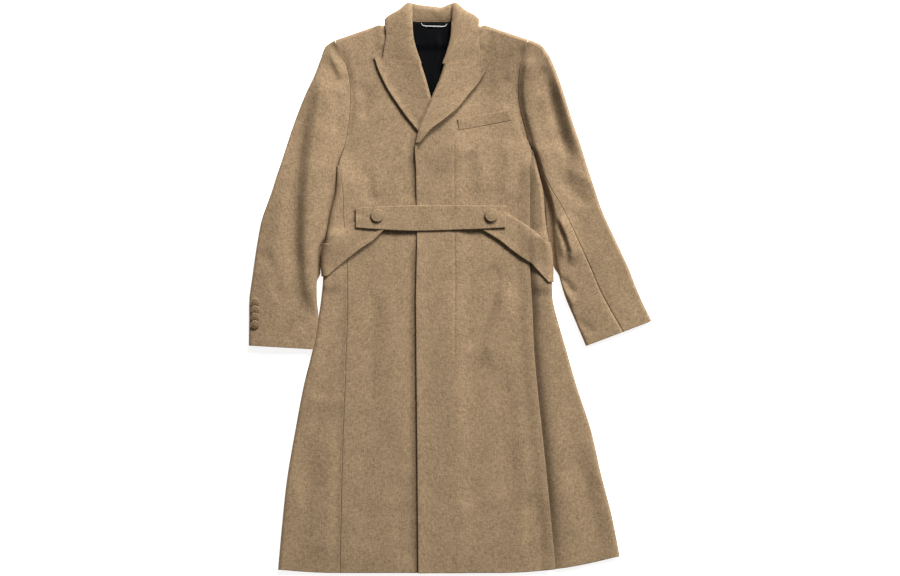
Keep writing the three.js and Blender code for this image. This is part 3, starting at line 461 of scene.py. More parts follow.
def lay_down(name, points, faces, flat, slot, node):
    """One visible piece from its points in table millimetres. flat: each point's place on the
    flat cloth in metres, which becomes the UV map."""
    mesh = bpy.data.meshes.new(name)
    mesh.from_pydata((points * MM + (SHIFT_X, SHIFT_Y, 0)).tolist(), [], faces)
    mesh.polygons.foreach_set("use_smooth", np.ones(len(faces), bool))
    layer = mesh.uv_layers.new(name="cloth")
    corners = np.empty(len(mesh.loops), np.int32)
    mesh.loops.foreach_get("vertex_index", corners)
    layer.data.foreach_set("uv", flat[corners].astype(np.float32).ravel())
    mesh.validate()
    mesh.update()
    piece = bpy.data.objects.new(name, mesh)
    bpy.context.collection.objects.link(piece)
    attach(piece, "root")
    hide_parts(node)
    return piece


print("3 by 4 points:", len(grid_faces(3, 4, 0, False)), "faces and", len(rim_faces(3, 4)), "at the rim")

# %% [markdown]
# ## The sewing machine
# `sew` turns the edge in, closes the piece, makes sure that it faces outwards, and measures it:
# width and length along the cloth, and its area. These are the sizes it would be cut to.

# %% The sewing machine
coat_pieces = {}


def sew(name, outer, inner, node, slot="wool", turn=0.0, edges=(1, 1, 1, 1), round_by=1.5):
    """One closed piece of cloth from its outside and inside grids, in table millimetres."""
    outer, inner = rounded(outer, inner, round_by, edges)
    rows, columns = outer.shape[:2]
    points = np.concatenate([outer.reshape(-1, 3), inner.reshape(-1, 3)])
    faces = np.concatenate([
        grid_faces(rows, columns, 0, False), grid_faces(rows, columns, rows * columns, True),
        rim_faces(rows, columns),
    ])
    corner = points[faces]
    volume = np.einsum("ij,ij->i", corner[:, 0], np.cross(corner[:, 1], corner[:, 2])).sum()
    volume += np.einsum("ij,ij->i", corner[:, 0], np.cross(corner[:, 2], corner[:, 3])).sum()
    if volume < 0:
        faces = faces[:, ::-1]
    across, down = lengths_along(outer, 1), lengths_along(outer, 0)
    flat = np.tile(np.stack([across, down], axis=-1).reshape(-1, 2), (2, 1)) * MM
    swing = np.array([[math.cos(turn), -math.sin(turn)], [math.sin(turn), math.cos(turn)]])
    piece = lay_down(name, points, faces.tolist(), flat @ swing.T, slot, node)
    coat_pieces[name] = piece
    width, length = float(across[:, -1].max()) * MM, float(down[-1].max()) * MM
    dx, dy = np.diff(outer[:-1], axis=1), np.diff(outer[:, :-1], axis=0)
    area = float(np.linalg.norm(np.cross(dx, dy), axis=-1).sum()) * MM * MM
    piece["cut"] = (width, length, area)
    print(f"{name}: {len(faces) * 2} triangles, cut {width:.3f} by {length:.3f} m, {area:.4f} m2")


print("pieces sewn so far:", len(coat_pieces))

# %% [markdown]
# ## Where cloth turns over
# At a side fold, a shoulder or a lapel's roll the cloth goes round in half a circle. Its outside
# has the full reach, and its inside the reach less the thickness of the cloth.


# %% The fold
def stack(x, y, z):
    """A grid of points from three grids of numbers, which may be rows or columns."""
    x, y, z = np.broadcast_arrays(x, y, z)
    return np.stack([x, y, z], axis=-1).astype(float)


def fold(x, y, direction, top, bottom, reach, thickness, angle):
    """Outward reach times cosine, upward half the height times sine, both skins."""
    half = (top - bottom) / 2
    a = np.radians(angle)
    skins = []
    for swing, rise in ((reach, half), (reach - thickness, half - thickness)):
        out = swing * np.cos(a)
        skins.append(stack(x + direction[0] * out, y + direction[1] * out, bottom + half + rise * np.sin(a)))
    return skins


def shoulder_dip(x):
    """The shoulder line runs a little lower where the collar turns round it."""
    out = abs(x - COLLAR_CENTRE)
    return 6 * ease((110 - out) / 12) * ease((out - 80) / 10)


outside, inside = fold(0.0, 0.0, (1, 0), 11.0, 0.0, SIDE_FOLD, CLOTH, np.array([0.0]))
print("a side fold reaches", float(outside[0, 0]), "mm out, its inside", float(inside[0, 0]), "mm")

# %% [markdown]
# ## The back panel
# It lies face down on the table and is hidden from above, so it is plain, with a few shallow
# creases that lift it off the table by a millimetre. It could be a flat plate, but a plate would
# show from below and at the neck.

# %% Cut the back
BACK_COLUMNS = np.array([-238.6, -163, -147.4, -128.9, -102.1, -60, 0, 34.9, 55.8, 73.2, 90, 160.9])
BACK_TOP = np.array([0, 25.8, 31.2, 31.6, 46.8, 44.7, 44.7, 43, 28, 30, 24.2, 0])
# columns: right side x and y, left side x and y, share of the shoulder line's crown
BACK_ROWS = np.array([
    (-238.3, 514.1, 160.6, 514.1, 1), (-229.5, 491.5, 155.5, 491.5, 0.63),
    (-218.2, 467.4, 147.2, 468, 0.5), (-210.9, 433.7, 142.5, 433.7, 0.3),
    (-209.8, 395.9, 142.7, 404.2, 0.1), (-211.3, 360.2, 147.7, 370, 0),
    (-216.9, 322.4, 157.3, 335, 0), (-222.3, 294.2, 159.2, 326, 0),
])
BACK_CREASES = [
    ([(-60, 470), (-40, 300), (-52, 120)], 1.2, 20, 30),
    ([(60, 430), (40, 260), (58, 60)], 1.0, 26, 18),
    ([(-150, 380), (-120, 200), (-130, -20)], 1.1, 16, 26),
    ([(100, 330), (90, 150), (104, -60)], 0.9, 22, 16),
    ([(-20, 60), (-36, -160), (-20, -420)], 1.3, 24, 34),
    ([(80, -60), (104, -260), (112, -560)], 1.2, 30, 20),
    ([(-130, -80), (-150, -300), (-160, -560)], 1.3, 18, 28),
    ([(-120, 210), (20, 196), (110, 214)], 0.9, 14, 10),
]


def back_panel():
    """Rows run between the two sides, and the upper ones carry the shoulder line's crown."""
    below = RIGHT_SIDE[RIGHT_SIDE[:, 0] < 250]
    y = below[:, 0]
    lower = np.stack([
        below[:, 3] + SEAM, y, np.interp(-y, -LEFT_SIDE[:, 0], LEFT_SIDE[:, 3]) - SEAM, y, y * 0,
    ], axis=1)
    rows = np.concatenate([BACK_ROWS, lower])
    knots = running(rows[:, 1])
    right_x, right_y, left_x, left_y, crown = smooth(knots, rows, spaced(knots[-1], 7)).T[..., None]
    t = spaced(390, 7)[None, :] / 390
    column = mix(BACK_COLUMNS[0], BACK_COLUMNS[-1], t)
    x = mix(right_x, left_x, t)
    y = hung(x, mix(right_y, left_y, t) + crown * np.interp(column, BACK_COLUMNS, BACK_TOP))
    z = under(x, y) + creased(x, y, BACK_CREASES)
    return stack(x, y, z), stack(x, y, z + CLOTH)


sew("back_panel", *back_panel(), "back")

# %% [markdown]
# ## The two fronts
# A front hangs from the shoulder line, folds over it, and runs down between the armhole or side
# seam and the roll of the lapel or the front edge. The left one closes over the right one, with a
# hidden row of buttonholes: all that shows of that is a line of stitches down the front, so the
# left front gets a shallow stitched groove there. A simulated sheet would fall in folds of its
# own, while straight rows between two measured lines keep each edge where the tailor cut it.

# %% Cut the fronts
FLY_STITCHES = np.array([(310, 8.5), (120, 9), (30, 11), (-150, 9), (-175, 9)])
STITCH_DEPTH = 0.9
STITCH_WIDTH = 2.2
FLY_SHARE = (0.60, 0.72)
UNDER_ARM = 250


def stitched_line(x, y):
    """A groove under a millimetre deep along the fly, from the lapel to below the belt."""
    line = np.interp(-y, -FLY_STITCHES[:, 0], FLY_STITCHES[:, 1])
    ends = ease((312 - y) / 14) * ease((y + 160) / 30)
    return -STITCH_DEPTH * ends * bell(x - line, STITCH_WIDTH)


def front_panel(chest, side, edge, height, stitched=False):
    """Folds over the shoulder, then straight rows between two smooth border lines."""
    lower = side[side[:, 0] <= UNDER_ARM]
    down = np.concatenate([
        chest, np.stack([lower[:, 1], lower[:, 0], edge(lower[:, 0]), lower[:, 0]], axis=1),
    ])
    knots = running(down[:, :2])
    at = spaced(knots[-1], 4.5)
    side_x, side_y, edge_x, edge_y = smooth(knots, down, at).T[..., None]
    width = abs(down[:, 0] - down[:, 2]).max()
    across = spaced(width, 3.4) / width
    if stitched:
        across = np.unique(np.concatenate([across, np.linspace(*FLY_SHARE, 22)]))
    t = across[None, :]
    x = mix(side_x, edge_x, t)
    y = hung(x, mix(side_y, edge_y, t))
    y = y - shoulder_dip(x) * ease(1 - at[:, None] / 40)
    z = height(x, y) + (stitched_line(x, y) if stitched else 0)
    tilt = math.atan2(chest[0, 3] - chest[0, 1], chest[0, 2] - chest[0, 0])
    outward = tilt + math.pi / 2 if chest[0, 2] > chest[0, 0] else tilt - math.pi / 2
    angle = np.linspace(-90, 90, 12)[:-1, None]
    skins = fold(x[0], y[0], (math.cos(outward), math.sin(outward)), z[0], under(x[0], y[0]),
                 SIDE_FOLD, FRONT, angle)
    outer = np.concatenate([skins[0], stack(x, y, z)])
    inner = np.concatenate([skins[1], stack(x, y, z - FRONT)])
    return outer, inner


sew("right_front", *front_panel(RIGHT_CHEST, RIGHT_SIDE, lambda y: y * 0 + HIDDEN_EDGE_X, laid),
    "front_right")
sew("left_front", *front_panel(LEFT_CHEST, LEFT_SIDE, lambda y: np.interp(-y, -EDGE_Y, OVER_EDGE_X),
                               laid_over, stitched=True), "front_left")

# %% [markdown]
# ## The side panels
# Each side panel starts at the vertical seam on the front, runs to the side, turns over there and
# goes back under the coat to the back seam. Two sheets could meet at the side, but the real panel
# has no seam there, so one profile goes all the way round. The left one starts tucked below the
# standing edge of the front, which leaves the deep line that runs down that side.


# %% Cut the side panels
TUCK_DIP = 1.1
TUCK_WIDTH = 11


def laid_left_side(x, y):
    """Top of the left side panel: laid flat, with its swell."""
    return laid(x, y) + swell(x, y)


def side_panel(table, sign, tuck, height):
    """A profile of three stretches carried down the side: top, fold and underside. Its edge is
    tucked under the front by tuck, and dips there as a bell."""
    knots = running(table[:, 0])
    y, seam, edge, back, rise = smooth(knots, table, spaced(knots[-1], 4.5)).T[..., None]
    start = seam + sign * (SEAM - tuck * ease((250 - y) / 43))
    reach = np.minimum(SIDE_FOLD, abs(edge - start) - 1)
    turn = edge - sign * reach
    t = spaced(100, 3.2)[None, :] / 100
    x = mix(start, turn, t)
    py = hung(x, y)
    z = height(x, py) - TUCK_DIP * tuck * bell(x - start, TUCK_WIDTH)
    top_y = hung(turn, y)
    skins = fold(turn, top_y, (sign, 0), height(turn, top_y), under(turn, top_y), reach, CLOTH,
                 np.linspace(90, -90, 13)[None, 1:])
    t = np.linspace(0, 1, 14)[None, 1:]
    low_x = mix(turn, back, t)
    low_y = hung(low_x, y + rise * t)
    low_z = under(low_x, low_y)
    outer = np.concatenate([stack(x, py, z), skins[0], stack(low_x, low_y, low_z)], axis=1)
    inner = np.concatenate([stack(x, py, z - CLOTH), skins[1], stack(low_x, low_y, low_z + CLOTH)], axis=1)
    return outer, inner


sew("right_side_panel", *side_panel(RIGHT_SIDE, -1, 0, laid), "side_right")
sew("left_side_panel", *side_panel(LEFT_SIDE, 1, 3, laid_left_side), "side_left")

# %% [markdown]
# ## Lapels
# A lapel is the front edge rolled over. Its section starts under the roll against the front, turns
# round the roll and runs out on top of the chest. Near the collar the roll stands high, and it
# presses flat towards the top button. A plate with a bevelled edge would be the same all along,
# and a lapel lives by that change, so its section changes from row to row.

# %% Cut the lapels
# columns: roll line x and y, outer edge x and y, spring of the roll
RIGHT_LAPEL = np.array([
    (-60.7, 471.5, -159.6, 486.2, 9.5), (-55.7, 456.8, -154.3, 468.7, 8),
    (-50.4, 440, -146.4, 449.4, 6.5), (-44.1, 416.9, -130.2, 417.3, 4.5),
    (-37.8, 395.9, -111.3, 388.5, 2.6), (-31, 372, -94.5, 364.6, 1.4),
    (-23.5, 348, -77.1, 342.9, 1), (-16.5, 327, -60.9, 323.4, 1), (-9.5, 308, -44, 303, 1),
])
LEFT_LAPEL = np.array([
    (-12.2, 471.8, 84, 483.6, 7.5), (-17.2, 454.7, 77.5, 465.2, 6.5),
    (-23.7, 435.8, 70.8, 449.6, 5.5), (-32, 417, 57.3, 428.2, 4.4), (-39.1, 400.5, 42, 410.6, 3.4),
    (-46.3, 381, 19.5, 382, 2.6), (-57.1, 357.6, -10.5, 355.9, 2.2),
    (-66.6, 333, -40.5, 333.4, 1.8), (-72.8, 304.4, -63, 305.2, 1.5),
])


LIP_GAP = 0.9
LEAF_ROLL = 2.2
LEAF_ROLL_WIDTH = 9


def lapel(table, height, tip):
    """Sections across the lapel: a lip, half a circle round the roll, then the leaf, which
    settles from its spring with the power 1.5 and lifts to its tip with the square."""
    knots = running(table[:, :2])
    rows = smooth(knots, table, spaced(knots[-1], 3))
    roll_x, roll_y, edge_x, edge_y, spring = rows.T[..., None]
    length = np.hypot(edge_x - roll_x, edge_y - roll_y)
    dx, dy = (edge_x - roll_x) / length, (edge_y - roll_y) / length
    lip = ROLL_ALLOWANCE - SEAM - LIP_GAP
    lip_z = height(roll_x + dx * lip, roll_y + dy * lip)
    lips = [stack(roll_x + dx * lip, roll_y + dy * lip, lip_z - FRONT + k) for k in (0, FRONT)]
    x, y = roll_x + dx * ROLL_FOLD, roll_y + dy * ROLL_FOLD
    base = height(x, y)
    skins = fold(x, y, (-dx, -dy), base + LAY + FRONT + spring, base - FRONT, ROLL_FOLD, FRONT,
                 np.linspace(-90, 90, 13)[None, :])
    t = spaced(90, 2.6)[None, 1:] / 90
    far = mix(ROLL_FOLD, length, t)
    px, py = roll_x + dx * far, roll_y + dy * far
    stand_off = tip * t**2 + LEAF_ROLL * bell(length - far, LEAF_ROLL_WIDTH)
    z = height(px, py) + LAY + FRONT + spring * (1 - t) ** 1.5 + stand_off
    outer = np.concatenate([lips[0], skins[0], stack(px, py, z)], axis=1)
    inner = np.concatenate([lips[1], skins[1], stack(px, py, z - FRONT)], axis=1)
    return outer, inner


sew("right_lapel", *lapel(RIGHT_LAPEL, laid, 0), "lapel_right", edges=(0, 1, 1, 1))
sew("left_lapel", *lapel(LEFT_LAPEL, laid_over, 7), "lapel_left", edges=(0, 1, 1, 1))

# %% [markdown]
# ## The collar
# The collar is one strip round the neck: it stands up from the neck seam, turns over at the crest
# and falls outside. At the nape the laid coat presses its fall flat under the back, and at the
# front the fall lies on the chest as far as the lapel. A bent tube would keep one section all
# round. Here sections across the strip are given at some stations round the neck, and the surface
# passes smoothly through them.

# %% Cut the collar
COLLAR = np.array([
    [(0, 559.7, 6.6), (0, 573, 11), (0, 584, 13), (0, 591, 8), (0, 579, 0), (0, 523, 0)],
    [(20, 559.7, 6.6), (21, 573, 11), (22, 585.5, 13), (23, 592.8, 8), (24, 580, 0), (30, 523, 0)],
    [(39, 560.2, 6.8), (39, 572, 11), (40, 589, 13.5), (43.5, 597, 9), (50, 588, 0), (60, 526, 0)],
    [(46, 563, 9), (41.5, 571, 15), (46, 590, 18), (51, 597.5, 12), (59, 584, 1), (70, 530, 0)],
    [(56, 568, 13), (43, 566, 18), (52, 577, 21), (64, 582, 18), (73, 580, 9), (88, 548, 0)],
    [(59, 556, 13), (42, 556, 18), (52, 560, 21), (72, 568, 19), (91, 568, 14), (98.5, 564.5, 8.5)],
    [(57, 546, 12), (41.5, 544, 18), (51, 546, 20.5), (70, 547, 19), (88, 547, 16.5), (97.5, 546, 14.5)],
    [(54, 530, 12), (40, 528, 17.5), (49, 529, 19.5), (68, 530, 18), (87, 530.5, 15.5), (96.5, 531, 13.6)],
    [(48, 507, 12), (34, 503, 16), (43, 503.5, 18), (66, 505, 16.5), (89, 507, 14), (100.2, 508, 12.4)],
    [(32, 474.5, 11.5), (23.2, 471.8, 13.5), (31, 472.8, 15), (58, 477, 13), (86, 481.4, 11.2),
     (104.3, 484.4, 10.6)],
])
NECK_FOLD = 41.0
LEFT_GORGE_DROP = (0.9, 1.8, 2.6)


def collar():
    """Six points across each station, smoothed across and then along, thickened along the
    surface's own normal (cross product of its two directions)."""
    mirrored = COLLAR[:0:-1] * (-1, 1, 1)
    stations = np.concatenate([mirrored, COLLAR]) + (COLLAR_CENTRE, 0, 0)
    stations[-1, 3:, 1] -= LEFT_GORGE_DROP
    chord = np.linalg.norm(np.diff(stations, axis=1), axis=-1).mean(axis=0)
    across = np.concatenate([[0], np.cumsum(chord**0.8)])
    wide = np.stack([smooth(across, row, spaced(across[-1], 1.0, 1.3)) for row in stations])
    middle = wide[:, wide.shape[1] // 3]
    along = running(middle)
    outer = smooth(along, wide, spaced(along[-1], 2.6))
    outer[..., 1] -= (4 * bell(outer[..., 0] + 18, 14) - 0.8) * ease((outer[..., 1] - 562) / 20)
    on_top = ease((outer[..., 1] - 554) / 8) * ease((outer[..., 2] - 9) / 3)
    outer[..., 2] -= 3 * bell(abs(outer[..., 0] - COLLAR_CENTRE) - NECK_FOLD, 2.6) * on_top
    outer[..., 2] = np.maximum(outer[..., 2], 0)
    normal = np.cross(np.gradient(outer, axis=0), np.gradient(outer, axis=1))
    normal /= np.maximum(np.linalg.norm(normal, axis=-1, keepdims=True), 1e-9)
    inner = outer + COLLAR_CLOTH * normal
    inner[..., 2] = np.maximum(inner[..., 2], 0)
    return outer, inner


sew("collar_and_stand", *collar(), "collar", edges=(0, 0, 1, 1))

# %% [markdown]
# ## Sleeves
# A laid sleeve is a flattened tube. Each ring goes from the inner fold across the top to the outer
# fold and back underneath. On the upper rings the tube ends on the armhole instead of an inner
# fold. Two flat plates would do from straight above, but their open sides would show at the cuff.
# The sleeve is cut in two pieces, as a tailored sleeve is, with a seam down the front.

# %% Rings of the sleeves
# columns at the armhole: outer fold x and y, armhole x and y, height of the outer fold, crown
# columns on the arm: both folds' x and y, heights of the outer and inner fold, crown, front seam
RIGHT_ARMHOLE_RINGS = np.array([
    (-242.1, 521.8, -239, 514.3, 0, 0), (-253, 515.5, -232.5, 496.6, 6.5, 0.5),
    (-262, 508, -225.6, 482, 6.5, 0.5), (-272, 482, -218.8, 467.2, 6.5, 1),
    (-285, 448, -211.5, 433.7, 7, 1), (-305.3, 404.9, -210.4, 395.9, 8, 2),
    (-327.8, 346.7, -211.9, 360.2, 9, 3), (-344.6, 296, -217.5, 322.4, 10, 4),
    (-355, 264, -223.2, 295.1, 10, 4),
])
RIGHT_ARM_RINGS = np.array([
    (-364, 238, -237.4, 256, 10, 14, 4, 0.5), (-375.1, 202.7, -241.2, 206.9, 10, 14, 4, 0.2),
    (-395.4, 145.3, -253.2, 154.3, 11, 14, 4, 0), (-404, 102, -262.5, 104, 11, 14, 4, 0),
    (-407, 84, -272.5, 87, 12, 14, 4, 0), (-416, 20, -279.2, 20, 13, 14, 4, 0),
    (-421.4, -20, -279.3, -20, 14, 13, 4, 0), (-422.1, -66, -276.6, -66, 15, 13, 4, 0),
    (-422.7, -119.9, -285.2, -127.9, 15, 13, 3, 0),
])
LEFT_ARMHOLE_RINGS = np.array([
    (164.4, 521.8, 161.3, 514.3, 0, 0), (178, 517, 157, 494, 36, 0), (190, 511, 151.8, 480, 36, 1),
    (201.6, 497.9, 147.4, 467.2, 35, 1), (214, 476.9, 143.2, 433.7, 32, 2),
    (232.7, 428.8, 143.4, 404.2, 29, 3), (252, 368, 148.4, 370, 26, 3),
    (263, 334, 158.4, 333, 25, 3), (271, 312, 165.4, 308, 24, 3),
])
LEFT_ARM_RINGS = np.array([
    (279, 287, 177.5, 284, 23, 14, 3, 0.5), (290, 252, 187.2, 250, 22, 14, 2, 0.9),
    (303, 212, 199, 213, 22, 14, 1, 1.03), (319, 165, 211.5, 172, 22, 14, 1, 1.17),
    (357, 82, 219, 88, 21, 14, 0, 1.4), (375.9, 41, 226, 42, 20, 14, 0, 1.46),
    (391, 2, 241, -15, 18, 14, 1, 1.5), (405, -30, 262, -65, 16, 13, 3, 1.53),
    (423.8, -68.2, 285.6, -120.8, 15, 13, 3, 1.57),
])
print("sleeve rings:", len(RIGHT_ARMHOLE_RINGS) + len(RIGHT_ARM_RINGS), "a side")

# %% [markdown]
# ## The creases of the sleeves
# Each sleeve has one long ridge from its head to the elbow with a hollow beside it, and short
# folds that cross where the arm would bend. The hidden under side gets a few shallow ones.

# %% Creases of the sleeves
RIGHT_SLEEVE_CREASES = [
    ([(-262, 474), (-268, 430), (-274, 390), (-280, 345), (-288, 296), (-299, 196), (-301, 94),
      (-298, 37), (-292, -10), (-288, -60)], 12.5, 48, 18, 0.12),
    ([(-232, 250), (-243, 200), (-257, 150), (-267, 100), (-277, 56)], -8.5, 12, 13, 0.2),
    ([(-300, 400), (-306, 360), (-314, 290), (-320, 180), (-322, 80), (-318, -10)], -5.0, 13, 26, 0.2),
    ([(-253, 508), (-242, 476), (-222, 436)], 5.0, 14, 8),
    ([(-236, 420), (-236, 370), (-244, 320)], -2.6, 10, 12),
    ([(-350, 250), (-356, 160), (-372, 40), (-378, -60)], 3.4, 16, 22),
    ([(-392, 90), (-372, 40), (-360, -30)], -3.0, 12, 16),
    ([(-300, -60), (-330, -86), (-350, -112)], -2.0, 10, 12),
]
LEFT_SLEEVE_CREASES = [
    ([(216, 480), (232, 419), (247, 371), (260, 322), (269, 287), (268, 243)], 8.0, 20, 15, 0.3),
    ([(199, 486), (208, 420), (219, 371), (232, 322), (244, 284), (246, 243)], -7.0, 13, 14, 0.3),
    ([(170, 498), (161, 467), (157, 434), (157, 404), (162, 370), (172, 333), (181, 304), (192, 272),
      (206, 226), (222, 165), (234, 100), (243, 50)], 7.5, 22, 9, 0.08),
    ([(240, 262), (268, 242), (308, 212)], 3.0, 22, 12),
    ([(236, 232), (262, 200), (290, 172)], -3.0, 14, 16),
    ([(227, 158), (236, 130), (245, 109), (254, 79), (251, 44)], 6.5, 22, 5, 0.25),
    ([(220, 152), (229, 128), (238, 108), (247, 79), (244, 50)], -4.5, 5, 6, 0.25),
    ([(226, 24), (246, 10), (262, -16)], -3.6, 7, 9),
    ([(228, 2), (250, -16), (262, -40)], 3.2, 7, 9),
    ([(196, 466), (190, 430), (186, 404)], -2.6, 8, 10),
    ([(290, 120), (310, 60), (336, 0), (360, -60)], 1.6, 26, 18),
    ([(262, -60), (290, -84), (310, -96)], -2.2, 8, 10),
]
UNDER_SLEEVE_CREASES = [
    ([(-250, 430), (-300, 250), (-330, 60), (-350, -100)], 1.0, 16, 24),
    ([(-280, 380), (-270, 200), (-300, 40)], 0.8, 20, 12),
    ([(180, 400), (240, 220), (290, 60), (340, -60)], 1.0, 18, 26),
    ([(200, 300), (260, 160), (270, 40)], 0.8, 12, 18),
]
print("creases on the sleeves:", len(RIGHT_SLEEVE_CREASES), "and", len(LEFT_SLEEVE_CREASES))

# %% [markdown]
# ## One ring, and where its points go
# A ring is a flat oval: two half circles joined by straight lines. Its points are named by one
# number that runs round it, so a seam is one number too, and the top sleeve and the under sleeve
# share the ring without overlapping. A tube with a fixed grid would be quicker, but its seam
# couldn't wander from the fold on to the top, as the front seam of a bent sleeve does.


# %% Points of a ring
def ring_skins(ring, q, open_ring):
    """Both skins of one ring at the positions q: 0 to 1 round the inner fold, to 2 across the
    top, to 3 round the outer fold, below 0 and above 3 along the underside."""
    out_x, out_y, in_x, in_y = ring[:4]
    width = math.hypot(out_x - in_x, out_y - in_y)
    dx, dy = (out_x - in_x) / width, (out_y - in_y) / width
    if open_ring:
        inner_top, crown = float(laid(np.array(in_x), np.array(in_y))), ring[5]
    else:
        inner_top, crown = ring[5], ring[6]
    outer_top = ring[4] or inner_top
    reach = min(SIDE_FOLD, width - 0.01)
    first, last = (0.0 if open_ring else reach), width - reach
    low = np.where(q < 1, -np.minimum(q, 0.0), 4 - q)
    share = np.where((q >= 1) & (q <= 2), q - 1, low)
    share = np.where((q > 2) & (q < 3), 1.0, share)
    share = np.where((q >= 0) & (q < 1), 0.0, share)
    at = mix(first, last, share)
    angle = np.where(q < 1, 180 * q - 90, 90 - 180 * (q - 2))
    top = np.where(q < 1, inner_top, outer_top)
    sign = np.where(q < 1, -1.0, 1.0)
    round_a_fold = ((q >= 0) & (q < 1) & (not open_ring)) | ((q > 2) & (q < 3))
    across = (q >= 1) & (q <= 2)
    skins = []
    for swing, depth in ((reach, 0.0), (reach - CLOTH, CLOTH)):
        a = np.radians(angle)
        out = np.where(round_a_fold, sign * swing * np.cos(a), 0.0)
        arc_z = top / 2 + (top / 2 - depth) * np.sin(a)
        top_z = mix(inner_top, outer_top, q - 1) + crown * np.sin(np.pi * np.clip(q - 1, 0, 1)) - depth
        z = np.where(round_a_fold, arc_z, np.where(across, top_z, depth))
        skins.append(stack(in_x + dx * (at + out), in_y + dy * (at + out), z))
    return skins


def spread(*stretches):
    """Positions along a ring: each stretch (from, to, steps), ends shared."""
    parts = [np.linspace(a, b, steps + 1)[1:] for a, b, steps in stretches]
    return np.concatenate([[stretches[0][0]], *parts])


print("positions of two short stretches:", spread((0, 1, 4), (1, 2, 2)))

# %% [markdown]
# ## From rings to a sleeve
# Smooth lines run down the sleeve through all the rings. Below the arm the inner fold sags against
# the body, and a table for each side says by how much at each height. Creases lift the top only,
# and they fade out at the folds and at the armhole.

# %% Rings into sleeves
# columns: height on the table, how far the inner fold sags towards the body
RIGHT_LIP = np.array([
    (296, 0), (288, 1.2), (272, 4.2), (262, 5.5), (250, 5), (235, 4.5), (200, 4), (154, 4), (120, 7),
    (104, 9), (87, 9.5), (60, 10), (30, 9), (16, 1), (5, 0),
])
LEFT_LIP = np.array([
    (312, 0), (300, 1.8), (290, 2.6), (278, 4.5), (262, 7), (240, 9), (213, 10), (190, 14.5), (172, 17.5),
    (154, 18.5), (120, 18.5), (100, 17), (88, 16), (60, 11), (42, 9), (28, 2), (15, 0),
])


def sleeve_piece(armhole, arm, positions, creases, lip):
    """All rings at their own positions, made finer by smooth lines down the sleeve. Below the
    arm the inner fold sags towards the body, as far as the lip's table says."""
    rings = [(ring, True) for ring in armhole] + [(ring, False) for ring in arm]
    lists = [positions(ring, is_open) for ring, is_open in rings]
    skins = [ring_skins(ring, q, is_open) for (ring, is_open), q in zip(rings, lists)]
    outer = np.stack([s[0] for s in skins])
    inner = np.stack([s[1] for s in skins])
    middle = outer[:, outer.shape[1] // 2]
    knots = running(middle)
    at = spaced(knots[-1], 4)
    outer, inner = smooth(knots, outer, at), smooth(knots, inner, at)
    q = smooth(knots, np.stack(lists), at)
    sag = np.interp(-outer[..., 1], -lip[:, 0], lip[:, 1]) * ease((q + 0.4) / 0.4) * ease((0.56 - q) / 0.34)
    at_armhole = ease((outer[..., 1] - 300) / 20) * np.maximum(bell(q - 1, 0.04), bell(q, 0.04))
    side = np.sign(outer[..., :1].mean())
    close = 0.35 + 0.4 * ease((outer[..., 1] - 440) / 60)
    for skin in (outer, inner):
        skin[..., 0] -= side * (sag + close * at_armhole)
    x, y = outer[..., 0], outer[..., 1]
    on_top = ease((q - 0.5) / 0.5) * ease((2.6 - q) / 0.6)
    seated = ease((at[:, None] - 6) / 40)
    rise = creased(x, y, creases) * on_top * seated
    below = creased(x, y, UNDER_SLEEVE_CREASES) * np.maximum(ease(-q / 0.3), ease((q - 3.1) / 0.3))
    for skin in (outer, inner):
        skin[..., 2] = np.maximum(skin[..., 2] + rise + below, 0.0)
    return outer, inner


print("the inner fold sags by up to", RIGHT_LIP[:, 1].max(), "and", LEFT_LIP[:, 1].max(), "mm")

# %% [markdown]
# ## Two pieces from one tube
# The seams leave a hair's breadth between the top sleeve and the under sleeve. The gap is the same
# all the way down, so where the sleeve is wide it is a smaller share of the ring.

# %% Sew the sleeves
RING_STEP = SEAM / 5


def half_gap(ring, q):
    """Half a seam's gap, as a share of the stretch of the ring that holds it."""
    width = math.hypot(ring[0] - ring[2], ring[1] - ring[3])
    on_fold = 0 <= q < 1 or 2 < q < 3
    return RING_STEP / (20 if on_fold else max(8, width - 2 * SIDE_FOLD))


def top_positions(under_seam):
    """Positions of the top sleeve on each ring: from the front seam or the armhole, across the
    top and round the outer fold, to the back seam underneath."""
    def positions(ring, is_open):
        """Four stretches: to the flat top, across it, round the outer fold, and underneath."""
        start = 1.0 if is_open else ring[7] + half_gap(ring, ring[7])
        flat = max(1.0, start + 0.15)
        end = 4 + under_seam - half_gap(ring, under_seam)
        return spread((start, flat, 10), (flat, 2, 34), (2, 3, 12), (3, end, 8))

    return positions


def under_positions(under_seam):
    """Positions of the under sleeve on each ring: the rest of it, from seam to seam."""
    def positions(ring, is_open):
        """Three stretches: along the underside, round the inner fold, and up to the seam."""
        start = under_seam + half_gap(ring, under_seam)
        end = 0.0 if is_open else ring[7] - half_gap(ring, ring[7])
        bottom = min(0.0, end - 0.3)
        turn = min(1.0, end - 0.1)
        return spread((start, bottom, 16), (bottom, turn, 12), (turn, end, 14))

    return positions


for side, armhole, arm, under_seam, creases, lip in (
    ("right", RIGHT_ARMHOLE_RINGS, RIGHT_ARM_RINGS, -0.9, RIGHT_SLEEVE_CREASES, RIGHT_LIP),
    ("left", LEFT_ARMHOLE_RINGS, LEFT_ARM_RINGS, -0.5, LEFT_SLEEVE_CREASES, LEFT_LIP),
):
    sew(f"{side}_top_sleeve", *sleeve_piece(armhole, arm, top_positions(under_seam), creases, lip),
        f"sleeve_{side}_top", round_by=0.7)
    sew(f"{side}_under_sleeve", *sleeve_piece(armhole, arm, under_positions(under_seam), creases, lip),
        f"sleeve_{side}_under", round_by=0.7)

# %% [markdown]
# ## The belt
# The belt is a front strap that buttons to two wide bands. Each band leaves the strap's end, runs
# down to the side on a slant, turns over the side fold and ends underneath. One long strip could
# be bent round the coat, but the steps between the three parts are just what shows.

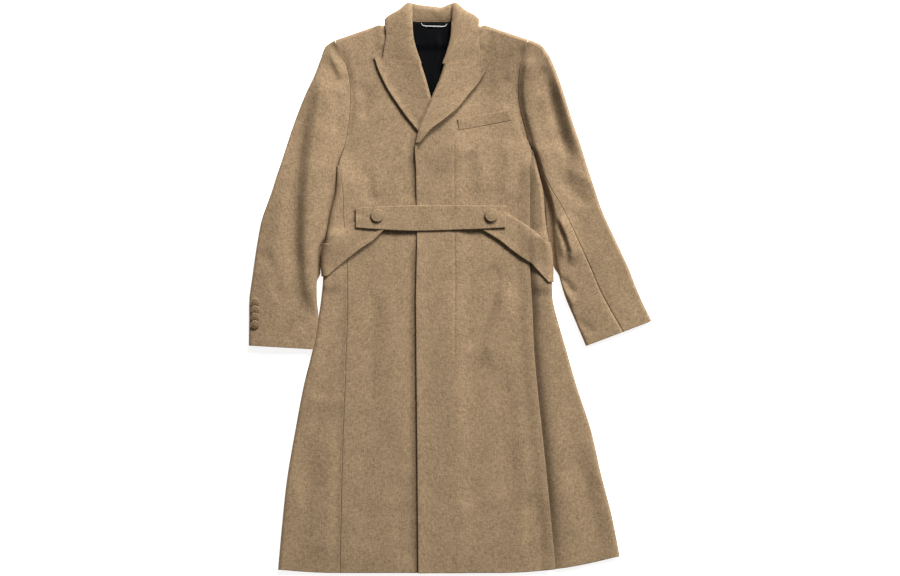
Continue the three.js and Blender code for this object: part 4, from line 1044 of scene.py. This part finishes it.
# %% Tables of the belt
# columns of a band: upper edge x and y, lower edge x and y; of the strap: x, top y, bottom y
RIGHT_BAND = np.array([
    (-118, 169, -112, 136), (-150, 163, -137, 123.5), (-178, 151, -163, 99.5),
    (-199, 141, -189, 82), (-222, 127, -216, 61), (-240, 113, -239, 42),
])
LEFT_BAND = np.array([
    (42, 170, 38, 138), (80, 167, 71, 121), (118, 158.5, 105, 100), (145, 143, 128, 81.5),
    (168, 128, 150, 65.5), (186, 113, 172, 51),
])
STRAP_ROWS = np.array([
    (-198, 169, 127.5), (-170, 171, 125), (-140, 172, 123.3), (-112, 173.5, 121.8),
    (-84, 174.5, 120.8), (-50, 174.7, 121), (-10, 174.7, 122), (30, 174.5, 123.5),
    (60, 174.3, 124.5), (90, 174, 126), (117, 173.5, 127.5),
])
print("the strap is", STRAP_ROWS[-1, 0] - STRAP_ROWS[0, 0], "mm long")

# %% [markdown]
# ## The bands
# A band is laid in rows from the strap's end outwards, and then follows the fold of the side. A
# sheet shrunk on to the coat would lose its thickness at that fold. The lower edge stands off the
# skirt in the middle, where nothing holds it, and throws a fine shadow.

# %% Cut the bands
WRAP_REACH = 26.0


def belt_band(table, side, sign, wrap, height, stand_off):
    """Flat rows between the two edges, then half a circle round the side, then a short end. The
    lower edge stands off most at the middle of the band."""
    up, low = wrap
    t = spaced(60, 2.6)[None, :] / 60
    knots = running(table[:, :2])
    at = spaced(knots[-1], 3)
    up_x, up_y, low_x, low_y = smooth(knots, table, at).T[..., None]
    x, y = mix(up_x, low_x, t), mix(up_y, low_y, t)
    pressed = -0.9 * ease(1 - t / 0.1)
    off = pressed + stand_off * ease((t - 0.72) / 0.28) * ease(1 - abs(2 * at / at[-1] - 1)[:, None] ** 3)
    z = height(x, y) + BELT_LAY + BELT + off
    wy = mix(up, low, t)
    turn = side_at(side, "fold", wy) - sign * SIDE_FOLD
    top = height(turn, wy) + BELT_LAY + BELT
    skins = fold(turn, wy, (sign, 0), top, 0 * wy, SIDE_FOLD + SEAM + BELT, BELT,
                 np.linspace(90, -90, 13)[:, None])
    link = np.linspace(0, 1, 8)[1:-1, None]
    link_x, link_y = mix(x[-1:], turn, link), mix(y[-1:], wy, link)
    link_z = height(link_x, link_y) + BELT_LAY + BELT
    s = np.linspace(0, 1, 7)[1:, None]
    end_x, end_y = turn - sign * s * (WRAP_REACH - SIDE_FOLD), wy + 0 * s
    outer = np.concatenate([stack(x, y, z), stack(link_x, link_y, link_z), skins[0],
                            stack(end_x, end_y, 0.0)])
    inner = np.concatenate([stack(x, y, z - BELT), stack(link_x, link_y, link_z - BELT), skins[1],
                            stack(end_x, end_y, BELT)])
    return outer, inner


sew("right_belt_band", *belt_band(RIGHT_BAND, RIGHT_SIDE, -1, (95, 25), laid, 3.6), "belt_band_right",
    round_by=2.6)
sew("left_belt_band", *belt_band(LEFT_BAND, LEFT_SIDE, 1, (97, 13), laid_left_band, 1.8),
    "belt_band_left", round_by=2.6)

# %% [markdown]
# ## The strap
# The strap lies on top of the bands and is held only by its two buttons, so its ends droop and
# its middle sinks a little. A straight bar would float over the creases, so every point takes its
# height from the coat below.

# %% Cut the strap
STRAP_SAG = 1.5


def belt_strap():
    """Rows across the strap between its smooth top and bottom lines. Its free ends droop, and it
    sags a little between the bands."""
    at = spaced(STRAP_ROWS[-1, 0] - STRAP_ROWS[0, 0], 3) + STRAP_ROWS[0, 0]
    top, bottom = smooth(STRAP_ROWS[:, 0], STRAP_ROWS[:, 1:], at).T[..., None]
    y = mix(top, bottom, spaced(48, 2.4)[None, :] / 48)
    x = at[:, None] + 0 * y
    right_droop = 3 * ease((-170 - x) / 28) * ease((y - 144) / 16)
    left_droop = 2.5 * ease((x - 92) / 24) * ease((y - 148) / 16)
    sag = STRAP_SAG * ease((x + 112) / 40) * ease((36 - x) / 40)
    top_of_strap = laid(x, y) + BELT_LAY + BELT + BELT_LAY + STRAP
    level = top_of_strap - (right_droop + left_droop) - sag
    return stack(x, y, level), stack(x, y, level - STRAP)


sew("front_strap", *belt_strap(), "belt_strap", turn=math.pi / 2, round_by=1.9)

# %% [markdown]
# ## The chest welt
# The welt is a folded strip sewn on the chest with its mouth upwards. It is a patch between four
# corners, laid on the left front, so it follows the creases that a plain bar would cut through.

# %% Cut the welt
WELT_CORNERS = np.array([(15.8, 355.9), (122.9, 374.9), (128.1, 352.8), (18.9, 331.8)])


def chest_welt():
    """A four-cornered patch: every point is the mix of the four corners."""
    s = spaced(110, 2.4)[:, None] / 110
    t = spaced(22, 1.6)[None, :] / 22
    top = mix(WELT_CORNERS[0], WELT_CORNERS[1], s[..., None])
    low = mix(WELT_CORNERS[3], WELT_CORNERS[2], s[..., None])
    place = mix(top, low, t[..., None])
    x, y = place[..., 0], place[..., 1]
    z = laid_over(x, y) + WELT + mix(BELT_LAY, -1.2, t**1.5)
    return stack(x, y, z), stack(x, y, z - WELT)


sew("chest_pocket_welt", *chest_welt(), "chest_welt", turn=math.pi / 2)

# %% [markdown]
# ## The neck lining
# The lining is satin, and shows only between the lapels. It is thin and loose, so its creases are
# narrower and sharper than those of the wool. They are placed one by one in the same way, because
# noise would crumple it like paper.

# %% Cut the neck lining
# columns: height on the table, right edge, left edge
NECK_LINING = np.array([
    (558.5, -88, 12), (542, -98, 22), (519.7, -100, 24), (489.2, -98, 20), (447, -87, 10),
    (400.5, -68, -8), (384, -62, -15),
])
LINING_CREASES = [
    ([(-60, 545), (-52, 500), (-56, 440), (-44, 396)], -1.4, 6, 9),
    ([(-30, 548), (-24, 500), (-34, 450), (-36, 400)], 1.4, 7, 6),
    ([(-10, 540), (-14, 490), (-22, 440)], -1.2, 6, 7),
]


def neck_lining():
    """Rows from side to side of the neck, creased as loose satin is."""
    knots = NECK_LINING[0, 0] - NECK_LINING[:, 0]
    y, right, left = smooth(knots, NECK_LINING, np.linspace(0, knots[-1], 60)).T[..., None]
    x = mix(right, left, np.linspace(0, 1, 50)[None, :])
    y = y + 0 * x
    z = under(x, y) + CLOTH + LAY + np.maximum(creased(x, y, LINING_CREASES), -0.4)
    return stack(x, y, z + LINING), stack(x, y, z)


sew("neck_lining_satin", *neck_lining(), "neck_lining", slot="lining", round_by=0.4)

# %% [markdown]
# ## The hanger loop
# A flat cord under the collar seam, by which the coat hangs on a hook. A curve with a round bevel
# would make a string of it, so it is a narrow grid like the cloth. Both ends are sewn in, and only
# its middle bows up from the lining.

# %% Cut the hanger loop
LOOP_CENTRE = (-33.6, 551.4)
LOOP_LENGTH = 54
LOOP_WIDTH = 2.4
LOOP_THICK = 1.2


def hanger_loop():
    """A flat cord, bowed up by a sine in the middle. Its ends turn up into the collar seam by
    the tenth power of the distance from the middle."""
    t = np.linspace(0, 1, 60)[:, None]
    s = np.linspace(-0.5, 0.5, 8)[None, :]
    x = LOOP_CENTRE[0] + (t - 0.5) * LOOP_LENGTH + 0 * s
    y = LOOP_CENTRE[1] - 1.5 * t + 6 * abs(2 * t - 1) ** 10 + s * LOOP_WIDTH
    z = under(x, y) + CLOTH + LAY + LINING + SEAM + 1.6 * np.sin(np.pi * t) + LOOP_THICK
    return stack(x, y, z), stack(x, y, z - LOOP_THICK)


sew("hanger_cord", *hanger_loop(), "hanger_loop", slot="loop", round_by=0.6)

# %% [markdown]
# ## Covered buttons
# A covered button is a metal shell with cloth drawn over it: a flat back, a round rim and a low
# dome, with a faint ring where the cloth is pulled tight. A squashed ball would have no rim, so
# the button is a profile turned round an axis.


# %% Turn the buttons
BELT_BUTTON = (28, 5.5)
CUFF_BUTTON = (18.5, 4)
CUFF_BUTTON_BASE = 18.2
CUFF_BUTTON_LEAN = 17


def button_form(name, node, diameter, height, centre, base, lean=0.0):
    """Radius and height run along one profile; every point turns round the button's axis."""
    s = np.linspace(0, 1, 26)
    rim = np.array([(0, 0), (0.55, 0), (0.88, 0.05), (1, 0.36), (0.95, 0.66), (0.82, 0.84),
                    (0.70, 0.80), (0.58, 0.86), (0.3, 0.97), (0, 1.0)])
    knots = np.linspace(0, 1, len(rim))
    radius, rise = smooth(knots, rim, s).T
    radius = np.clip(radius, 0.0, 1.0) * diameter / 2
    turn = np.linspace(0, 2 * np.pi, 49)[None, :-1]
    ring = stack(radius[1:-1, None] * np.cos(turn), radius[1:-1, None] * np.sin(turn),
                 np.clip(rise, 0, 1)[1:-1, None] * height)
    rows, columns = ring.shape[:2]
    poles = np.array([(0, 0, 0), (0, 0, height)], float)
    points = np.concatenate([ring.reshape(-1, 3), poles])
    c, n = math.cos(math.radians(lean)), math.sin(math.radians(lean))
    points = np.stack([points[:, 0], points[:, 1] * c - points[:, 2] * n,
                       points[:, 1] * n + points[:, 2] * c], axis=1)
    points = points + (centre[0], centre[1], base)
    i, j = np.meshgrid(np.arange(rows - 1), np.arange(columns), indexing="ij")
    k = (j + 1) % columns
    quads = np.stack([i * columns + j, i * columns + k, (i + 1) * columns + k, (i + 1) * columns + j], -1)
    j = np.arange(columns)
    k = (j + 1) % columns
    bottom = np.stack([np.full(columns, rows * columns), k, j], axis=1)
    top = np.stack([np.full(columns, rows * columns + 1), (rows - 1) * columns + j,
                    (rows - 1) * columns + k], axis=1)
    faces = quads.reshape(-1, 4).tolist() + bottom.tolist() + top.tolist()
    print(name, len(faces), "faces")
    return lay_down(name, points, faces, points[:, :2] * MM, "button_cloth", node)


button_pieces = []
for side, centre in (("right", BUTTON_ON_TABLE), ("left", (86.9, 153.4))):
    low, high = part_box(f"belt_button_{side}")
    button_pieces.append(button_form(f"{side}_belt_button", f"belt_button_{side}", *BELT_BUTTON, centre,
                                     low.z / MM))
for k, centre in enumerate(((-408.6, -75.2), (-408.8, -59.6), (-409, -44), (-409.2, -28.4)), 1):
    button_pieces.append(button_form(f"cuff_button_cover_{k}", f"cuff_button_{k}", *CUFF_BUTTON, centre,
                                     CUFF_BUTTON_BASE, CUFF_BUTTON_LEAN))

# %% [markdown]
# ## Heather wool
# Melton is spun from fibres dyed in several browns and then fulled, so close up it is a speckle,
# and from a step away an even camel with faint cross lines of the weave under the nap. One node
# group makes both: speckle at the scale of the yarn, softer clouds at the scale of a hand, and a
# height for the nap. A single flat colour would look like plastic, and an image would repeat.


# %% Helpers for node groups
def new_group(name, inputs, outputs):
    """An empty node group with named sockets, and its two end nodes."""
    group = bpy.data.node_groups.new(name, "ShaderNodeTree")
    for label, kind, value in inputs:
        socket = group.interface.new_socket(label, in_out="INPUT", socket_type=kind)
        if value is not None:
            socket.default_value = value
    for label, kind in outputs:
        group.interface.new_socket(label, in_out="OUTPUT", socket_type=kind)
    return group, group.nodes.new("NodeGroupInput"), group.nodes.new("NodeGroupOutput")


def noise(group, vector, scale, detail=2.0, stretch=(1, 1, 1), tilt=0.5):
    """Noise of the given number of cells a metre, drawn out along an axis by stretch. The tilt
    turns the noise's own lattice away from the cloth, which would show it as rows of marks."""
    mapping = group.nodes.new("ShaderNodeMapping")
    mapping.vector_type = "POINT"
    mapping.inputs["Scale"].default_value = stretch
    slanted = group.nodes.new("ShaderNodeVectorRotate")
    slanted.rotation_type = "EULER_XYZ"
    slanted.inputs["Rotation"].default_value = (tilt, 0.7 * tilt + 0.3, 0.4)
    slanted.inputs["Center"].default_value = (3.1, 1.7, 2.3 + tilt)
    texture = group.nodes.new("ShaderNodeTexNoise")
    texture.inputs["Scale"].default_value = scale
    texture.inputs["Detail"].default_value = detail
    group.links.new(vector, mapping.inputs["Vector"])
    group.links.new(mapping.outputs["Vector"], slanted.inputs["Vector"])
    group.links.new(slanted.outputs["Vector"], texture.inputs["Vector"])
    return texture.outputs["Fac"]


def maths(group, operation, a, b):
    """A Math node on two numbers or sockets."""
    node = group.nodes.new("ShaderNodeMath")
    node.operation = operation
    for socket, value in zip(node.inputs, (a, b)):
        if isinstance(value, (int, float)):
            socket.default_value = value
        else:
            group.links.new(value, socket)
    return node.outputs["Value"]


def blend_colour(group, factor, a, b):
    """Colour a where the factor is 0, and b where it is 1."""
    node = group.nodes.new("ShaderNodeMix")
    node.data_type = "RGBA"
    group.links.new(factor, node.inputs["Factor"])
    group.links.new(a, node.inputs[6])
    group.links.new(b, node.inputs[7])
    return node.outputs[2]


print("node helpers:", ", ".join(f.__name__ for f in (new_group, noise, maths, blend_colour)))

# %% [markdown]
# ## Yarn, fibre and cloud
# Two noises drawn out along the weft and the warp give the crossed yarns, a finer one the single
# fibres, and a coarse one the uneven dye. Their sum chooses between the light and the dark fibre.


# %% The heather group
def heather_group():
    """Colour and height of fulled melange wool from a vector in metres along the cloth."""
    group, source, out = new_group(
        "heather_wool",
        [("Vector", "NodeSocketVector", None), ("Light fibre", "NodeSocketColor", (0.5, 0.36, 0.24, 1)),
         ("Dark fibre", "NodeSocketColor", (0.2, 0.12, 0.07, 1)), ("Speckle", "NodeSocketFloat", 0.5)],
        [("Colour", "NodeSocketColor"), ("Height", "NodeSocketFloat")],
    )
    vector = source.outputs["Vector"]
    weft = noise(group, vector, 250, 2.0, (0.5, 1.35, 1), 0.5)
    warp = noise(group, vector, 250, 2.0, (1.35, 0.5, 1), 0.9)
    fibre = noise(group, vector, 430, 3.0, (0.9, 1.1, 1), 1.3)
    cloud = noise(group, vector, 26, 2.0, (1, 1, 1), 0.7)
    yarns = maths(group, "MULTIPLY", maths(group, "ADD", weft, warp), 0.36)
    grains = maths(group, "ADD", yarns, maths(group, "MULTIPLY", fibre, 0.28))
    spread_out = maths(group, "MULTIPLY", maths(group, "SUBTRACT", grains, 0.5), source.outputs["Speckle"])
    soft = maths(group, "MULTIPLY", maths(group, "SUBTRACT", cloud, 0.5), 0.35)
    total = maths(group, "ADD", spread_out, maths(group, "ADD", soft, 0.5))
    clamp = group.nodes.new("ShaderNodeClamp")
    group.links.new(total, clamp.inputs["Value"])
    colour = blend_colour(group, clamp.outputs["Result"], source.outputs["Dark fibre"],
                          source.outputs["Light fibre"])
    group.links.new(colour, out.inputs["Colour"])
    group.links.new(grains, out.inputs["Height"])
    return group


HEATHER = heather_group()
print("heather group:", len(HEATHER.nodes), "nodes")

# %% [markdown]
# ## The four finishes
# Wool takes the heather group, no gloss and a soft sheen from its nap. The buttons wear the same
# cloth, a touch darker where it is pulled tight. The lining is black satin with fine cross ribs,
# and the loop a pale silky cord.


# %% Materials of cloth
def new_material(name):
    """A material with its node tree and its shader."""
    material = bpy.data.materials.new(name)
    material.use_nodes = True
    tree = material.node_tree
    return material, tree, tree.nodes["Principled BSDF"]


def cloth_material(name, bump, depth):
    """A material that reads the cloth's own map and has a relief of the given depth in metres."""
    material, tree, shader = new_material(name)
    place = tree.nodes.new("ShaderNodeUVMap")
    place.uv_map = "cloth"
    relief = tree.nodes.new("ShaderNodeBump")
    relief.inputs["Strength"].default_value = bump
    relief.inputs["Distance"].default_value = depth
    tree.links.new(relief.outputs["Normal"], shader.inputs["Normal"])
    return material, tree, shader, place, relief


def wool_material(name, light, dark, speckle):
    """Matt wool: the heather group's colour and nap, with a soft sheen."""
    material, tree, shader, place, relief = cloth_material(name, 0.35, 0.0012)
    heather = tree.nodes.new("ShaderNodeGroup")
    heather.node_tree = HEATHER
    heather.inputs["Light fibre"].default_value = light
    heather.inputs["Dark fibre"].default_value = dark
    heather.inputs["Speckle"].default_value = speckle
    tree.links.new(place.outputs["UV"], heather.inputs["Vector"])
    tree.links.new(heather.outputs["Colour"], shader.inputs["Base Color"])
    tree.links.new(heather.outputs["Height"], relief.inputs["Height"])
    shader.inputs["Roughness"].default_value = 0.95
    shader.inputs["Specular IOR Level"].default_value = 0.15
    shader.inputs["Sheen Weight"].default_value = 0.10
    shader.inputs["Sheen Roughness"].default_value = 0.45
    shader.inputs["Sheen Tint"].default_value = (0.9, 0.8, 0.68, 1)
    return material


WOOL = wool_material("camel_heather_wool", (0.40, 0.28, 0.168, 1), (0.135, 0.088, 0.046, 1), 2.2)
BUTTON_WOOL = wool_material("button_cover_wool", (0.37, 0.26, 0.155, 1), (0.14, 0.09, 0.048, 1), 2.0)
print("wools:", WOOL.name, "and", BUTTON_WOOL.name)

# %% [markdown]
# ## Satin and cord
# Both are smooth and ribbed, so one helper makes them: fine ribs across the cloth carry the gloss
# and a relief of less than a third of a millimetre.


# %% Materials of satin
def satin_material(name, colour, rough, ribs, bump, sheen):
    """Smooth cloth with fine ribs across it, which carry its gloss and its relief."""
    material, tree, shader, place, relief = cloth_material(name, bump, 0.0003)
    wave = tree.nodes.new("ShaderNodeTexWave")
    wave.inputs["Scale"].default_value = ribs
    wave.inputs["Distortion"].default_value = 1.5
    ramp = tree.nodes.new("ShaderNodeMapRange")
    ramp.inputs["To Min"].default_value = rough - 0.08
    ramp.inputs["To Max"].default_value = rough + 0.08
    tree.links.new(place.outputs["UV"], wave.inputs["Vector"])
    tree.links.new(wave.outputs["Fac"], ramp.inputs["Value"])
    tree.links.new(ramp.outputs["Result"], shader.inputs["Roughness"])
    tree.links.new(wave.outputs["Fac"], relief.inputs["Height"])
    shader.inputs["Base Color"].default_value = colour
    shader.inputs["Specular IOR Level"].default_value = 0.06
    shader.inputs["Sheen Weight"].default_value = sheen
    return material


SATIN = satin_material("black_lining_satin", (0.0015, 0.0017, 0.0022, 1), 0.6, 900, 0.2, 0.0)
CORD = satin_material("pale_hanger_cord", (0.55, 0.55, 0.54, 1), 0.45, 600, 0.8, 0.1)
for name, piece in coat_pieces.items():
    finish = {"neck_lining_satin": SATIN, "hanger_cord": CORD}.get(name, WOOL)
    piece.data.materials.append(finish)
for piece in button_pieces:
    piece.data.materials.append(BUTTON_WOOL)
print("finishes:", [m.name for m in (WOOL, BUTTON_WOOL, SATIN, CORD)])

LIES_ON = {
    "back_panel": [], "right_front": ["back_panel"], "left_front": ["right_front", "back_panel"],
    "right_side_panel": ["back_panel"], "left_side_panel": ["back_panel"],
    "right_lapel": ["right_front"], "left_lapel": ["left_front"],
    "collar_and_stand": ["right_front", "left_front"], "right_top_sleeve": ["right_under_sleeve"],
    "right_under_sleeve": [], "left_top_sleeve": ["left_under_sleeve"], "left_under_sleeve": [],
    "right_belt_band": ["right_front", "right_side_panel"],
    "left_belt_band": ["left_front", "left_side_panel"],
    "front_strap": ["right_belt_band", "left_belt_band", "left_front"],
    "chest_pocket_welt": ["left_front"], "neck_lining_satin": ["back_panel"],
}
for name, below in LIES_ON.items():
    piece = coat_pieces[name]
print(len(LIES_ON), "sheets declared")

# %% [markdown]
# ## Table, light and camera
# A pale table and soft studio light: two large lamps from the upper right, as tall windows would
# be, and an even sky for the rest. Low light from one side is what makes soft folds readable. The
# camera hangs straight above the coat, far enough away that little leans outwards.

# %% Camera and table
PIXEL = 2.1
LENS = 100.0
SENSOR = 36.0
FRAME_WIDTH = 900
VIEW_CENTRE = (0.0, 1.05)
HEIGHT_OF_CLOTH = 10.0

bpy.ops.mesh.primitive_plane_add(size=12, location=(0, 0, -0.0006))
table_top = bpy.context.active_object
table_top.name = "pale_table"
table_top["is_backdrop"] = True
table_material, tree, shader = new_material("pale_table_paint")
shader.inputs["Base Color"].default_value = (0.9, 0.9, 0.9, 1)
shader.inputs["Roughness"].default_value = 0.9
shader.inputs["Emission Color"].default_value = (1, 1, 1, 1)
shader.inputs["Emission Strength"].default_value = 0.8
table_top.data.materials.append(table_material)

camera_data = bpy.data.cameras.new("camera")
camera_data.lens = LENS
camera_data.sensor_width = SENSOR
camera = bpy.data.objects.new("camera", camera_data)
camera.location = (VIEW_CENTRE[0] * MM + SHIFT_X, VIEW_CENTRE[1] * MM + SHIFT_Y,
                   PIXEL * MM * FRAME_WIDTH * LENS / SENSOR + HEIGHT_OF_CLOTH * MM)
camera_data.clip_end = 50
bpy.context.collection.objects.link(camera)
bpy.context.scene.camera = camera


print("camera height in m:", round(camera.location.z, 3))

# %% [markdown]
# ## The lamps
# A soft fold shows only by its shade, so both lamps stand low, about thirty degrees over the table.
# Flat light from above would make the same cloth look like card.

# %% Lamps and sky
LAMP_AIM = (0.0, 0.1, 0.0)
LAMP_SIZE = 1.6


def area_light(name, place, power):
    """A square lamp that looks at the middle of the coat; its lower edge stays level."""
    data = bpy.data.lights.new(name, "AREA")
    data.shape = "SQUARE"
    data.size = LAMP_SIZE
    data.energy = power
    light = bpy.data.objects.new(name, data)
    light.location = place
    direction = [a - b for a, b in zip(LAMP_AIM, place)]
    yaw = math.atan2(direction[1], direction[0])
    flat_length = math.hypot(direction[0], direction[1])
    light.rotation_euler = (math.atan2(flat_length, -direction[2]), 0, yaw - math.pi / 2)
    bpy.context.collection.objects.link(light)


area_light("high_window", (1.6, 4.9, 3.25), 580)
area_light("side_window", (4.05, 3.24, 3.1), 244)
world = bpy.data.worlds.new("sky")
bpy.context.scene.world = world
world.use_nodes = True
world.node_tree.nodes["Background"].inputs["Color"].default_value = (1, 1, 1, 1)
world.node_tree.nodes["Background"].inputs["Strength"].default_value = 0.14
bpy.context.scene.view_settings.view_transform = "Standard"

# %% [markdown]
# ## Measure
# The finished cloth is measured: the size of the box round it, in millimetres. Cloth may stand
# a few millimetres proud of the solids, and no more.

# %% Finish
low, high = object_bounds()
print("box of the cloth in mm:", [round(1000 * (b - a), 1) for a, b in zip(low, high)])
